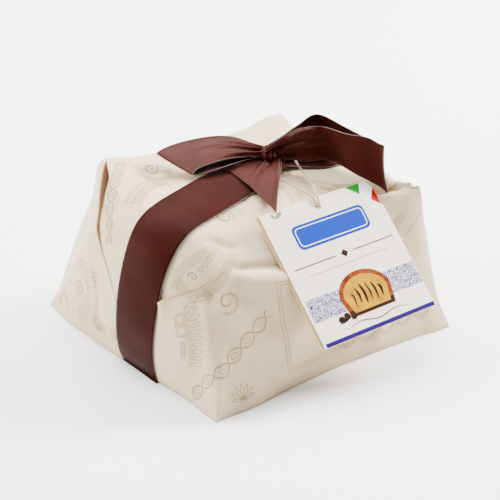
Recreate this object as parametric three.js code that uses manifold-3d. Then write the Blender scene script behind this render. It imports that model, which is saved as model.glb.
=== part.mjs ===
// A gift-wrapped panettone: a domed loaf in its paper baking case and food bag, wrapped by hand in one
// sheet of stiff paper, tied with a satin ribbon and bow, with a folded card tag on a string.
// Millimetres, +Z up. The origin is the middle of the base, the long tagged face looks to -Y.
import * as THREE from "three";
import { mergeVertices } from "three/addons/utils/BufferGeometryUtils.js";
import Module from "manifold-3d";

const wasm = await Module();
wasm.setup();

// Driving dimensions
const GAP = 0.35; // clearance between touching pieces
const LOAF_CENTRE_Y = 5;
const LOAF_WALL_RADIUS = 83;
const LOAF_CROWN_RADIUS = 84.4;
const LOAF_TOP = 114.3;
const CASE_HEIGHT = 58;
const CASE_THICKNESS = 0.7;
const BAG_THICKNESS = 0.5;
const BAG_NECK_LENGTH = 30;
const WRAP_FLOOR = 2.4; // the folded layers under the base
const WRAP_WALL = 1.5;
const WRAP_CENTRE = new THREE.Vector3(0, 3, 55);
const RIBBON_WIDTH = 42;
const RIBBON_THICKNESS = 0.7;
const KNOT_CENTRE = new THREE.Vector3(20, 1, 128.8);
const KNOT_HALF_SIZE = new THREE.Vector3(11, 13, 7.9);
const TAG_WIDTH = 103;
const TAG_HEIGHT = 103.6;
const TAG_THICKNESS = 0.7;
const TAG_LEAF_GAP = 0.5;
const TAG_LEAN = 45.6; // degrees back from upright
const TAG_CORNER = new THREE.Vector3(-31.7, -127.4, 41); // its lower left corner
const TAG_HOLE = new THREE.Vector2(49.8, 97.2); // from that corner
const TAG_HOLE_RADIUS = 2.6;
const STRING_DIAMETER = 1.5;
const STRING_KNOT_RADIUS = 1.8;

const PAPER = { color: 0xe4dccb, roughness: 0.6, metalness: 0 };
const CARD = { color: 0xece7dc, roughness: 0.5, metalness: 0 };
const SATIN = { color: 0x54281f, roughness: 0.35, metalness: 0 };
const TWINE = { color: 0xd9cdb8, roughness: 0.9, metalness: 0 };
const CRUST = { color: 0x8a4a1c, roughness: 0.7, metalness: 0 };
const BAKING_PAPER = { color: 0x6b3f22, roughness: 0.8, metalness: 0 };
const FILM = { color: 0xf2f4f5, roughness: 0.1, metalness: 0, transparent: true, opacity: 0.35 };

const up = new THREE.Vector3(0, 0, 1);
const vec = (x, y, z) => new THREE.Vector3(x, y, z);

// ---- solids ---------------------------------------------------------------------------------------

function named(name, geometry, look) {
  const mesh = new THREE.Mesh(geometry, new THREE.MeshStandardMaterial(look));
  mesh.name = name;
  return mesh;
}

function toSolid(geometry) {
  const bare = new THREE.BufferGeometry();
  bare.setAttribute("position", geometry.getAttribute("position").clone());
  if (geometry.index) bare.setIndex(geometry.index.clone());
  const merged = mergeVertices(bare, 1e-4);
  return new wasm.Manifold(
    new wasm.Mesh({
      numProp: 3,
      vertProperties: new Float32Array(merged.attributes.position.array),
      triVerts: new Uint32Array(merged.index.array),
    }),
  );
}

function toGeometry(solid) {
  const mesh = solid.getMesh();
  const points = new Float32Array(mesh.numVert * 3);
  for (let i = 0; i < mesh.numVert; i++) {
    points.set(mesh.vertProperties.subarray(i * mesh.numProp, i * mesh.numProp + 3), i * 3);
  }
  const geometry = new THREE.BufferGeometry();
  geometry.setAttribute("position", new THREE.BufferAttribute(points, 3));
  geometry.setIndex(new THREE.BufferAttribute(new Uint32Array(mesh.triVerts), 1));
  return geometry;
}

// A closed surface from rows of points: each row is a ring, and the two ends close on a single point.
function ringSurface(rings, firstPole, lastPole) {
  const count = rings[0].length;
  const points = [firstPole, ...rings.flat(), lastPole];
  const last = points.length - 1;
  const index = [];
  for (let j = 0; j < count; j++) {
    const k = (j + 1) % count;
    index.push(0, 1 + k, 1 + j);
    for (let i = 0; i + 1 < rings.length; i++) {
      const a = 1 + i * count;
      const b = a + count;
      index.push(a + j, a + k, b + k, a + j, b + k, b + j);
    }
    const top = 1 + (rings.length - 1) * count;
    index.push(last, top + j, top + k);
  }
  return new THREE.BufferGeometry().setFromPoints(points).setIndex(index);
}

// A solid strip from rows of points across its width, thickened to both sides of that sheet.
function stripSolid(rows, thickness) {
  const columns = rows[0].length;
  const at = (i, j) => rows[Math.min(Math.max(i, 0), rows.length - 1)][Math.min(Math.max(j, 0), columns - 1)];
  const front = [];
  const back = [];
  for (let i = 0; i < rows.length; i++) {
    for (let j = 0; j < columns; j++) {
      const along = at(i + 1, j).clone().sub(at(i - 1, j));
      const across = at(i, j + 1).clone().sub(at(i, j - 1));
      const normal = along.cross(across).setLength(thickness / 2);
      front.push(at(i, j).clone().add(normal));
      back.push(at(i, j).clone().sub(normal));
    }
  }
  const half = front.length;
  const index = [];
  const quad = (a, b, c, d) => index.push(a, b, c, a, c, d);
  for (let i = 0; i + 1 < rows.length; i++) {
    for (let j = 0; j + 1 < columns; j++) {
      const a = i * columns + j;
      const b = a + columns;
      quad(a, b, b + 1, a + 1);
      quad(half + a, half + a + 1, half + b + 1, half + b);
    }
    const left = i * columns;
    const right = left + columns - 1;
    quad(left, half + left, half + left + columns, left + columns);
    quad(right, right + columns, half + right + columns, half + right);
  }
  for (let j = 0; j + 1 < columns; j++) {
    const end = (rows.length - 1) * columns + j;
    quad(j, j + 1, half + j + 1, half + j);
    quad(end, half + end, half + end + 1, end + 1);
  }
  return new THREE.BufferGeometry().setFromPoints([...front, ...back]).setIndex(index);
}

// A LatheGeometry turned to stand on +Z, from [radius, height] pairs.
function lathe(profile, segments) {
  const points = profile.map(([radius, height]) => new THREE.Vector2(radius, height));
  return new THREE.LatheGeometry(points, segments).rotateX(Math.PI / 2);
}

// ---- loaf, baking case and food bag ----------------------------------------------------------------

const BAG_BASE = WRAP_FLOOR + GAP;
const CASE_BASE = BAG_BASE + BAG_THICKNESS + GAP;
const LOAF_BASE = CASE_BASE + CASE_THICKNESS + GAP;
const CROWN_START = 66;

// Points of the domed crown, grown outward by an offset.
function crownProfile(offset, steps) {
  const radius = LOAF_CROWN_RADIUS + offset;
  const rise = LOAF_TOP - CROWN_START + offset;
  const points = [];
  for (let i = 0; i <= steps; i++) {
    const angle = (i / steps) * (Math.PI / 2);
    points.push([i === steps ? 0 : radius * Math.cos(angle), CROWN_START + rise * Math.sin(angle)]);
  }
  return points;
}

function loaf() {
  const profile = [
    [0, LOAF_BASE],
    [LOAF_WALL_RADIUS - 3, LOAF_BASE],
    [LOAF_WALL_RADIUS, LOAF_BASE + 3],
    [LOAF_WALL_RADIUS, CASE_HEIGHT],
    ...crownProfile(0, 10),
  ];
  return lathe(profile, 40).translate(0, LOAF_CENTRE_Y, 0);
}

function bakingCase() {
  const inner = LOAF_WALL_RADIUS + GAP;
  const outer = inner + CASE_THICKNESS;
  const profile = [
    [0, CASE_BASE],
    [outer, CASE_BASE],
    [outer, CASE_HEIGHT],
    [inner, CASE_HEIGHT],
    [inner, CASE_BASE + CASE_THICKNESS],
    [0, CASE_BASE + CASE_THICKNESS],
  ];
  return lathe(profile, 40).translate(0, LOAF_CENTRE_Y, 0);
}

// The neck points into the free corner behind the loaf.
const NECK_START = vec(56, LOAF_CENTRE_Y + 56, 74);
const NECK_DIRECTION = vec(1, 1, 0.25).normalize();

// A piece of revolution about the neck's axis, from [radius, distance along the neck] pairs.
function aroundNeck(profile, segments) {
  const turn = new THREE.Quaternion().setFromUnitVectors(up, NECK_DIRECTION);
  return lathe(profile, segments).applyQuaternion(turn).translate(...NECK_START.toArray());
}

function neckProfile(offset, start, end) {
  const shape = [
    [0, start],
    [20 + offset, start],
    [12 + offset, 13],
    [5 + offset, 20],
    [5 + offset, 25],
    [10 + offset, end],
    [0, end],
  ];
  return shape;
}

function foodBag() {
  const wall = (offset, base) => [[0, base], [LOAF_CROWN_RADIUS + offset, base], ...crownProfile(offset, 10)];
  const skin = GAP + BAG_THICKNESS;
  const outer = toSolid(lathe(wall(skin, BAG_BASE), 40).translate(0, LOAF_CENTRE_Y, 0));
  const inner = toSolid(lathe(wall(GAP, BAG_BASE + BAG_THICKNESS), 40).translate(0, LOAF_CENTRE_Y, 0));
  const neckOuter = toSolid(aroundNeck(neckProfile(BAG_THICKNESS, 0, BAG_NECK_LENGTH), 20));
  const neckInner = toSolid(aroundNeck(neckProfile(0, 0, BAG_NECK_LENGTH + 1), 20));
  return toGeometry(outer.add(neckOuter).subtract(inner.add(neckInner)));
}

function bagTie() {
  const inner = 5 + BAG_THICKNESS + GAP;
  const outer = inner + 1.4;
  const profile = [[inner, 21], [outer, 21], [outer, 24], [inner, 24], [inner, 21]];
  return aroundNeck(profile, 20);
}

// ---- wrapping paper --------------------------------------------------------------------------------

// Stations round the parcel, each with its outer surface at seven levels, from the base edge to the
// top. The four corners keep pointed ears; the faces between them curve in.
const STATIONS = [
  // end face, under the ribbon
  [[-110, -16, 0], [-112.5, -16, 24], [-110.5, -16, 54], [-101, -15, 84], [-84, -13, 107], [-50, -9, 115], [-22, -3, 117.6]],
  // end face, towards the front corner
  [[-106, -71, 0], [-106, -68, 24], [-101, -60, 54], [-88, -54, 84], [-70, -46, 101], [-44, -30, 111], [-20, -13, 116.6]],
  // front corner
  [[-108, -104, 0], [-98, -95, 22], [-84, -83, 52], [-67, -71, 80], [-52, -56, 97], [-34, -36, 110], [-15, -15, 116.6]],
  // front face, along the soft ridge
  [[-42, -101, 0], [-44, -100, 24], [-41, -96, 52], [-34, -84, 77], [-26, -64, 97.5], [-15, -37, 113], [-6, -14, 117.4]],
  // front face, middle
  [[8, -99, 0], [8, -99, 24], [8, -96, 52], [8, -84.5, 77], [8, -63, 99.5], [6, -35, 113.5], [3, -10, 117.8]],
  // front face, towards the right corner
  [[58, -101, 0], [58, -101, 24], [55, -96, 50], [50, -86, 72], [42, -66, 93], [26, -36, 110], [10, -12, 117.2]],
  [[84, -103, 0], [82, -99, 24], [80, -94, 50], [77, -85, 70], [70, -72, 88], [46, -42, 104], [18, -14, 116]],
  // right corner
  [[109, -106, 0], [104, -99, 22], [100, -91, 52], [100, -82, 82], [101, -73, 108], [82, -56, 97], [27, -15, 114.6]],
  // far end face
  [[110, -52, 0], [110, -51, 24], [107, -50, 54], [102, -49, 84], [91, -46, 104], [56, -28, 108], [24, -10, 116]],
  [[110, 5, 0], [111, 5, 24], [109, 5, 54], [102, 5, 84], [86, 5, 106], [52, 4, 113.5], [22, 3, 117.6]],
  [[110, 56, 0], [110, 55, 24], [107, 54, 54], [101, 52, 84], [91, 50, 105], [55, 30, 109], [24, 15, 116.6]],
  // back corner
  [[109, 107, 0], [103, 100, 22], [98, 92, 52], [96, 86, 84], [96, 81, 115], [56, 46, 107], [22, 18, 116.2]],
  // back face
  [[57, 104, 0], [57, 104, 24], [57, 101, 54], [57, 95, 84], [57, 83, 109], [34, 47, 109.5], [14, 18, 116.8]],
  [[0, 103, 0], [0, 103, 24], [0, 102, 54], [0, 96, 84], [0, 81, 110.5], [0, 46, 111.5], [0, 20, 117]],
  [[-55, 104, 0], [-55, 104, 24], [-54, 101, 54], [-52, 94, 84], [-48, 80, 116], [-28, 46, 111], [-12, 20, 117]],
  // left corner
  [[-108, 107, 0], [-101, 101, 20], [-92, 95, 50], [-80, 88, 86], [-71, 82, 120], [-44, 50, 110], [-17, 20, 117]],
  // end face, towards the left corner
  [[-111.5, 50, 0], [-112, 50, 24], [-109, 46, 54], [-101, 41, 84], [-88, 36, 109], [-52, 24, 115], [-22, 10, 118]],
].map((station) => station.map((point) => vec(...point)));
const WRAP_TOP = vec(0, 3, 118.2);
const STEPS_PER_STATION = 4;
const STEPS_PER_LEVEL = 2;

// The outer surface of the wrap as rings of points, from the base edge to the top.
function wrapRings() {
  const levels = STATIONS[0].length;
  const count = STATIONS.length * STEPS_PER_STATION;
  const levelRings = [];
  for (let level = 0; level < levels; level++) {
    const curve = new THREE.CatmullRomCurve3(STATIONS.map((station) => station[level]), true, "centripetal");
    const ring = [];
    for (let i = 0; i < count; i++) ring.push(curve.getPoint(i / count));
    levelRings.push(ring);
  }
  const rings = [];
  const profiles = levelRings[0].map(
    (_, i) => new THREE.CatmullRomCurve3(levelRings.map((ring) => ring[i]), false, "centripetal"),
  );
  const steps = (levels - 1) * STEPS_PER_LEVEL;
  for (let step = 0; step <= steps; step++) {
    rings.push(profiles.map((profile) => profile.getPoint(step / steps)));
  }
  return rings;
}

// The same surface moved inwards, towards the middle of the parcel.
function shrunk(rings) {
  return rings.map((ring) =>
    ring.map((point) => {
      const ray = point.clone().sub(WRAP_CENTRE);
      const inner = WRAP_CENTRE.clone().add(ray.setLength(ray.length() - WRAP_WALL));
      if (inner.z >= WRAP_FLOOR) return inner;
      return vec(inner.x * 0.955, inner.y * 0.955, WRAP_FLOOR);
    }),
  );
}

function towardsMiddle(ring, share) {
  const middle = vec(0, 0, ring[0].z);
  return ring.map((point) => point.clone().lerp(middle, share));
}

const outerRings = wrapRings();
const wrapSurface = ringSurface(
  [towardsMiddle(outerRings[0], 0.5), ...outerRings],
  vec(0, 0, 0),
  WRAP_TOP,
);

// The mouth of the fold at the left corner, open into the wrap.
function foldMouth() {
  const lens = new THREE.Shape();
  lens.moveTo(0, -19);
  lens.quadraticCurveTo(7, 0, 0, 19);
  lens.quadraticCurveTo(-7, 0, 0, -19);
  const mouth = new THREE.ExtrudeGeometry(lens, { depth: 34, bevelEnabled: false, curveSegments: 6 });
  return mouth.rotateX(Math.PI / 2).rotateZ(-Math.PI / 2 - 0.25).rotateY(0.3).translate(-61, 73, 91);
}

function ribbonMiddleY(x) {
  return 0.12 * x - 3;
}

// The shallow channel that the ribbon presses into the folds under the base.
function baseRibbon(halfLength, halfWidth, bottom, top) {
  const outline = new THREE.Shape();
  outline.moveTo(-halfLength, ribbonMiddleY(-halfLength) - halfWidth);
  outline.lineTo(halfLength, ribbonMiddleY(halfLength) - halfWidth);
  outline.lineTo(halfLength, ribbonMiddleY(halfLength) + halfWidth);
  outline.lineTo(-halfLength, ribbonMiddleY(-halfLength) + halfWidth);
  const slab = new THREE.ExtrudeGeometry(outline, { depth: top - bottom, bevelEnabled: false });
  return slab.translate(0, 0, bottom);
}

function wrappingPaper() {
  const inner = shrunk(outerRings);
  const floor = towardsMiddle(inner[0], 0.5);
  const top = WRAP_TOP.clone().setZ(WRAP_TOP.z - WRAP_WALL);
  const hollow = toSolid(ringSurface([floor, ...inner], vec(0, 0, WRAP_FLOOR), top));
  const channel = baseRibbon(125, RIBBON_WIDTH / 2 + GAP, -1, RIBBON_THICKNESS + GAP);
  const shell = toSolid(wrapSurface).subtract(hollow).subtract(toSolid(channel)).subtract(toSolid(foldMouth()));
  return toGeometry(shell);
}

// ---- ribbon round the parcel -----------------------------------------------------------------------

const probe = new THREE.Raycaster();
const probed = new THREE.Mesh(wrapSurface, new THREE.MeshBasicMaterial({ side: THREE.DoubleSide }));

// Where a ray from the parcel's long axis leaves the paper, in the plane of one ribbon thread.
function onPaper(angle, side, lift) {
  const direction = vec(Math.cos(angle), 0.12 * Math.cos(angle), Math.sin(angle)).normalize();
  probe.set(vec(0, ribbonMiddleY(0) + side, 50), direction);
  const hit = probe.intersectObject(probed)[0];
  return hit.point.clone().addScaledVector(direction, lift);
}

function ribbonBand() {
  const lowest = Math.atan2(-50, 110);
  const steps = 44;
  const rows = [];
  for (let i = 0; i <= steps; i++) {
    const angle = lowest + (Math.PI - 2 * lowest) * (i / steps);
    const row = [-1, -0.5, 0, 0.5, 1].map((share) =>
      onPaper(angle, (share * RIBBON_WIDTH) / 2, GAP + 0.9 + RIBBON_THICKNESS / 2),
    );
    rows.push(row);
  }
  for (const end of [rows[0], rows[steps]]) {
    end.forEach((point) => point.setZ(RIBBON_THICKNESS / 2));
  }
  const overTop = toSolid(stripSolid(rows, RIBBON_THICKNESS));
  const underBase = toSolid(baseRibbon(110.9, RIBBON_WIDTH / 2, 0, RIBBON_THICKNESS));
  return toGeometry(overTop.add(underBase));
}

// ---- bow ---------------------------------------------------------------------------------------------

function bowKnot() {
  const knot = new THREE.SphereGeometry(1, 20, 12);
  knot.scale(...KNOT_HALF_SIZE.toArray());
  return knot.rotateZ(-0.5).translate(...KNOT_CENTRE.toArray());
}

// A loop or tail from its sections: each has a middle and half its width as a vector.
function ribbonPiece(sections, steps) {
  const middle = new THREE.CatmullRomCurve3(sections.map(([point]) => vec(...point)), false, "centripetal");
  const half = new THREE.CatmullRomCurve3(sections.map(([, width]) => vec(...width)), false, "centripetal");
  const rows = [];
  for (let i = 0; i <= steps; i++) {
    const place = middle.getPoint(i / steps);
    const width = half.getPoint(i / steps);
    rows.push([-1, 0, 1].map((share) => place.clone().addScaledVector(width, share)));
  }
  return stripSolid(rows, RIBBON_THICKNESS);
}

// Lying on its side: out below, round the end fold, and back above to the knot.
const LEFT_LOOP = [
  [[8, 9, 127], [4, 4, 1]],
  [[-6, 18, 125.4], [7, 11, 0.5]],
  [[-24, 30, 123.4], [3, 19, 0.3]],
  [[-35, 36, 121.9], [-1, 20.9, 0.6]],
  [[-38, 37, 123.5], [-1, 20.9, 1.5]],
  [[-30, 37, 126.5], [4, 20, 2]],
  [[-10, 29, 130.5], [11, 15, 2.5]],
  [[1, 20, 132.5], [10, 10, 2.5]],
  [[10, 9, 132], [5, 3.5, 1.8]],
];
// Standing on its edge: out in front, round the end fold, and back behind.
const RIGHT_LOOP = [
  [[31, -8, 129.5], [0, -2, 5]],
  [[42, -13, 131], [0, -3, 9]],
  [[56, -20, 134], [0, 0, 13]],
  [[62.5, -44, 131.5], [-1, -1, 16]],
  [[72.4, -56, 127], [-1, 0, 19]],
  [[78, -62, 122], [-1, -1, 19.3]],
  [[82, -57, 123], [-1, 0, 18.5]],
  [[81, -42, 127], [-1, 0, 16.5]],
  [[79, -18, 130], [-1, 1, 14]],
  [[71, 3, 132], [-1, 2, 13.5]],
  [[54, 6, 132.5], [0, 3, 11]],
  [[34, 2, 131], [0, 2, 6]],
];
const FRONT_TAIL = [
  [[19, -12, 125.5], [7, -2, -1]],
  [[8, -15, 124.5], [12, -13, -1.5]],
  [[-5, -19, 121.9], [6, -28, -2]],
  [[-14.5, -21, 120.6], [-3.5, -35, -2.5]],
];
// Over the ribbon and down the far side.
const BACK_TAIL = [
  [[34, 6, 124.2], [-2, 6, 0.5]],
  [[46, 6, 120.5], [-2, 10, 0]],
  [[66, 8, 115.6], [-2, 14, 0]],
  [[88, 10, 109], [6, 19, -2]],
];

// ---- tag and string ------------------------------------------------------------------------------------

const tagTurn = new THREE.Matrix4().makeRotationX(Math.PI / 2 - THREE.MathUtils.degToRad(TAG_LEAN));
const tagNormal = vec(0, 0, 1).applyMatrix4(tagTurn);

// A point of the tag from its own right, up and outward distances.
function onTag(right, height, outward) {
  return vec(right, height, outward).applyMatrix4(tagTurn).add(TAG_CORNER);
}

function tagLeaf(outline, depth) {
  const shape = new THREE.Shape(outline.map(([x, y]) => new THREE.Vector2(x, y)));
  const hole = new THREE.Path();
  hole.absarc(TAG_HOLE.x, TAG_HOLE.y, TAG_HOLE_RADIUS, 0, 2 * Math.PI, true);
  shape.holes.push(hole);
  const leaf = new THREE.ExtrudeGeometry(shape, { depth: TAG_THICKNESS, bevelEnabled: false, curveSegments: 10 });
  return leaf.translate(0, 0, -depth - TAG_THICKNESS).applyMatrix4(tagTurn).translate(...TAG_CORNER.toArray());
}

function tagFrontLeaf() {
  const cutRight = 0.79 * TAG_HEIGHT;
  const cutTop = 0.76 * TAG_WIDTH;
  const outline = [[0, 0], [TAG_WIDTH, 0], [TAG_WIDTH, cutRight], [cutTop, TAG_HEIGHT], [0, TAG_HEIGHT]];
  return tagLeaf(outline, 0);
}

// The back leaf keeps its corner, and shows a strip of itself beyond the front leaf's left edge.
function tagBackLeaf() {
  const outline = [
    [-1.6, 0],
    [TAG_WIDTH - 0.4, 0],
    [TAG_WIDTH - 0.4, TAG_HEIGHT - 5],
    [TAG_WIDTH - 5, TAG_HEIGHT],
    [-1.6, TAG_HEIGHT],
  ];
  return tagLeaf(outline, TAG_THICKNESS + TAG_LEAF_GAP);
}

const TAG_BACK = 2 * TAG_THICKNESS + TAG_LEAF_GAP;
const STRING_SIDE = 0.95; // half the distance between the two strands in the hole

// From behind the tag, through its hole, round under the bow and back through the hole.
function stringRoute() {
  const strand = (side, outward) => onTag(TAG_HOLE.x + side * STRING_SIDE, TAG_HOLE.y + 0.5, outward);
  const start = -TAG_BACK - 0.2;
  return [
    strand(-1, start),
    strand(-1, 0.2),
    onTag(TAG_HOLE.x - 1.3, TAG_HOLE.y + 2.6, 1.8),
    onTag(TAG_HOLE.x - 1.8, TAG_HEIGHT + 0.8, 1.7),
    vec(15.5, -40, 116.4),
    vec(12, -24, 119),
    vec(7, -8, 121.4),
    vec(8, 8, 122),
    vec(20, 16, 122),
    vec(34, 12, 121.8),
    vec(41, 0, 120.8),
    vec(37, -14, 118.6),
    vec(30, -36, 116.2),
    onTag(TAG_HOLE.x + 2.2, TAG_HEIGHT + 0.8, 1.7),
    onTag(TAG_HOLE.x + 1.3, TAG_HOLE.y + 2.6, 1.8),
    strand(1, 0.2),
    strand(1, start),
  ];
}

function tagString() {
  const path = new THREE.CatmullRomCurve3(stringRoute(), false, "centripetal");
  const circle = new THREE.Shape();
  const sides = 8;
  for (let i = 0; i < sides; i++) {
    const angle = (2 * Math.PI * i) / sides;
    const x = (STRING_DIAMETER / 2) * Math.cos(angle);
    const y = (STRING_DIAMETER / 2) * Math.sin(angle);
    if (i === 0) circle.moveTo(x, y);
    else circle.lineTo(x, y);
  }
  return new THREE.ExtrudeGeometry(circle, { steps: 76, extrudePath: path, bevelEnabled: false });
}

function stringKnot() {
  const knot = new THREE.SphereGeometry(1, 12, 8);
  knot.scale(STRING_KNOT_RADIUS * 1.5, STRING_KNOT_RADIUS, STRING_KNOT_RADIUS);
  const outward = -TAG_BACK - 0.2 - GAP - STRING_KNOT_RADIUS;
  return knot.translate(...onTag(TAG_HOLE.x, TAG_HOLE.y + 0.5, outward).toArray());
}

// ---- the object ------------------------------------------------------------------------------------------

const panettone = new THREE.Group();
panettone.add(
  named("panettone_loaf", loaf(), CRUST),
  named("baking_case", bakingCase(), BAKING_PAPER),
  named("food_bag", foodBag(), FILM),
  named("bag_tie", bagTie(), TWINE),
  named("wrapping_paper", wrappingPaper(), PAPER),
  named("ribbon_band", ribbonBand(), SATIN),
  named("bow_knot", bowKnot(), SATIN),
  named("bow_loop_left", ribbonPiece(LEFT_LOOP, 32), SATIN),
  named("bow_loop_right", ribbonPiece(RIGHT_LOOP, 32), SATIN),
  named("bow_tail_front", ribbonPiece(FRONT_TAIL, 12), SATIN),
  named("bow_tail_back", ribbonPiece(BACK_TAIL, 12), SATIN),
  named("tag_front_leaf", tagFrontLeaf(), CARD),
  named("tag_back_leaf", tagBackLeaf(), CARD),
  named("tag_string", tagString(), TWINE),
  named("string_knot", stringKnot(), TWINE),
);

export default panettone;
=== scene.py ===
import math

import bpy
import numpy as np
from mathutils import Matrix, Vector
from mathutils.bvhtree import BVHTree


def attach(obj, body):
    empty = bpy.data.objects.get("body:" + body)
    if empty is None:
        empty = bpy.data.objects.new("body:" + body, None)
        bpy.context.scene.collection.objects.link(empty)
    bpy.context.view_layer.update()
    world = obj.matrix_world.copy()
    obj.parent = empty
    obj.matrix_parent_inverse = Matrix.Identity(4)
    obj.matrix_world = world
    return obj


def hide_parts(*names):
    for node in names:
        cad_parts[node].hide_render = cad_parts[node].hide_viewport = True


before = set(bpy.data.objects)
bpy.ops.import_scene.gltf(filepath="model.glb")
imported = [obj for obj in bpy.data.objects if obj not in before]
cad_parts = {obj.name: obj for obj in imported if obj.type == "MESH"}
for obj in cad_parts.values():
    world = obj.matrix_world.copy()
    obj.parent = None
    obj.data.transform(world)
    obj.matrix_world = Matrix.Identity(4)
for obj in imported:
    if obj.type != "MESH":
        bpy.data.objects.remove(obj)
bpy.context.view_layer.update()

MM = 0.001
BODY = "root"

# ---- camera ----

LENS = 122.4
AZIMUTH = math.radians(-38.07)
ELEVATION = math.radians(27.0)
DISTANCE = 1.2635
LOOK_AT = Vector((0.003, 0.0007, 0.055))


def make_camera():
    data = bpy.data.cameras.new("camera")
    data.lens = LENS
    data.clip_start, data.clip_end = 0.05, 20
    camera = bpy.data.objects.new("camera", data)
    flat = math.cos(ELEVATION)
    back = Vector((math.sin(AZIMUTH) * flat, -math.cos(AZIMUTH) * flat, math.sin(ELEVATION)))
    camera.location = LOOK_AT + back * DISTANCE
    camera.rotation_mode = "QUATERNION"
    camera.rotation_quaternion = (-back).to_track_quat("-Z", "Y")
    bpy.context.scene.collection.objects.link(camera)
    bpy.context.scene.camera = camera


make_camera()

# ---- curves and meshes ----


def spline(points, places, closed=False):
    """A centripetal Catmull-Rom curve through the points, at places from 0 to 1."""
    points = np.asarray(points, float)
    count = len(points)
    spot = (count if closed else count - 1) * np.asarray(places, float)
    first = np.floor(spot).astype(int)
    if not closed:
        first = np.minimum(first, count - 2)
    share = (spot - first).reshape((-1,) + (1,) * (points.ndim - 1))
    if closed:
        near = [points[(first + k) % count] for k in (-1, 0, 1, 2)]
    else:
        before, after = 2 * points[0] - points[1], 2 * points[-1] - points[-2]
        grown = np.concatenate([before[None], points, after[None]])
        near = [grown[first + k] for k in (0, 1, 2, 3)]
    p0, p1, p2, p3 = near
    d0, d1, d2 = (
        np.sqrt(np.linalg.norm(b - a, axis=-1, keepdims=True) + 1e-9)
        for a, b in ((p0, p1), (p1, p2), (p2, p3))
    )
    start = ((p1 - p0) / d0 - (p2 - p0) / (d0 + d1) + (p2 - p1) / d1) * d1
    end = ((p2 - p1) / d1 - (p3 - p1) / (d1 + d2) + (p3 - p2) / d2) * d1
    s2, s3 = share**2, share**3
    return (
        (2 * s3 - 3 * s2 + 1) * p1 + (s3 - 2 * s2 + share) * start + (3 * s2 - 2 * s3) * p2 + (s3 - s2) * end
    )


def full_turn(steps):
    return np.linspace(0, 2 * math.pi, steps, endpoint=False)


def unit(v):
    return v / (np.linalg.norm(v, axis=-1, keepdims=True) + 1e-12)


def smooth_step(low, high, value):
    t = np.clip((value - low) / (high - low), 0, 1)
    return t * t * (3 - 2 * t)


def link(obj):
    bpy.context.scene.collection.objects.link(obj)
    return obj


def build(name, points, faces, smooth=True):
    """An object from points in millimetres."""
    mesh = bpy.data.meshes.new(name)
    mesh.from_pydata((np.asarray(points) * MM).tolist(), [], faces)
    mesh.polygons.foreach_set("use_smooth", [smooth] * len(mesh.polygons))
    mesh.update()
    return link(bpy.data.objects.new(name, mesh))


def grid_faces(rows, columns, closed=False):
    across = columns if closed else columns - 1
    faces = []
    for i in range(rows - 1):
        for j in range(across):
            k = (j + 1) % columns
            a, b = i * columns, (i + 1) * columns
            faces.append((a + j, a + k, b + k, b + j))
    return faces


def ring_solid(rings, first_pole, last_pole):
    """Points and faces of a closed surface from rings, with a point at each end."""
    count = rings.shape[1]
    points = np.concatenate([rings.reshape(-1, 3), [first_pole], [last_pole]])
    faces = grid_faces(len(rings), count, closed=True)
    low, high = len(points) - 2, len(points) - 1
    top = (len(rings) - 1) * count
    for j in range(count):
        k = (j + 1) % count
        faces.append((low, k, j))
        faces.append((high, top + j, top + k))
    return points, faces


def grid_normals(rows):
    along = np.gradient(rows, axis=0)
    across = np.gradient(rows, axis=1)
    return unit(np.cross(along, across))


def sheet_mesh(name, rows, thickness):
    """A thin closed sheet from rows of points, with its flat lengths along and across as UVs in metres."""
    count, columns = rows.shape[:2]
    normals = grid_normals(rows)
    points = np.concatenate([rows + normals * thickness / 2, rows - normals * thickness / 2]).reshape(-1, 3)
    half = count * columns
    front = grid_faces(count, columns)
    faces = front + [tuple(half + v for v in reversed(f)) for f in front]
    rim = list(range(columns)) + [i * columns + columns - 1 for i in range(1, count)]
    rim += [(count - 1) * columns + j for j in range(columns - 2, -1, -1)]
    rim += [i * columns for i in range(count - 2, 0, -1)]
    for a, b in zip(rim, rim[1:] + rim[:1]):
        faces.append((a, half + a, half + b, b))
    obj = build(name, points, faces)
    middle = rows[:, columns // 2]
    along = np.concatenate([[0], np.cumsum(np.linalg.norm(np.diff(middle, axis=0), axis=1))])
    line = rows[count // 2]
    across = np.concatenate([[0], np.cumsum(np.linalg.norm(np.diff(line, axis=0), axis=1))])
    flat = np.stack(np.broadcast_arrays(along[:, None], across[None, :]), axis=-1).reshape(-1, 2)
    set_uv(obj, np.concatenate([flat, flat]) * MM)
    return obj


def set_uv(obj, flat):
    layer = obj.data.uv_layers.new(name="UVMap")
    corners = np.empty(len(obj.data.loops), int)
    obj.data.loops.foreach_get("vertex_index", corners)
    layer.data.foreach_set("uv", flat[corners].astype(np.float32).ravel())


def paint(obj, name, values):
    """A number on each point that a material can read."""
    attribute = obj.data.attributes.new(name, "FLOAT", "POINT")
    attribute.data.foreach_set("value", np.asarray(values, np.float32))


def finish_piece(obj, look, slot, *nodes):
    obj.data.materials.append(look)
    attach(obj, BODY)
    if nodes:
        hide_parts(*nodes)
    return obj


# ---- materials ----


def new_look(name, **sockets):
    look = bpy.data.materials.new(name)
    look.use_nodes = True
    shader = look.node_tree.nodes["Principled BSDF"]
    for key, value in sockets.items():
        shader.inputs[key.replace("_", " ")].default_value = value
    return look


def add(look, kind, values, **settings):
    """A shader node; a value may be a number, a tuple or another node's output."""
    made = look.node_tree.nodes.new("ShaderNode" + kind)
    for key, value in settings.items():
        setattr(made, key, value)
    for key, value in values.items():
        if isinstance(value, bpy.types.NodeSocket):
            look.node_tree.links.new(value, made.inputs[key])
        else:
            made.inputs[key].default_value = value
    return made.outputs[0]


def feed(look, socket, output):
    look.node_tree.links.new(output, look.node_tree.nodes["Principled BSDF"].inputs[socket])


def position(look):
    return look_output(look, "TexCoord", "Object")


def flat_position(look):
    return look_output(look, "TexCoord", "UV")


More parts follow.
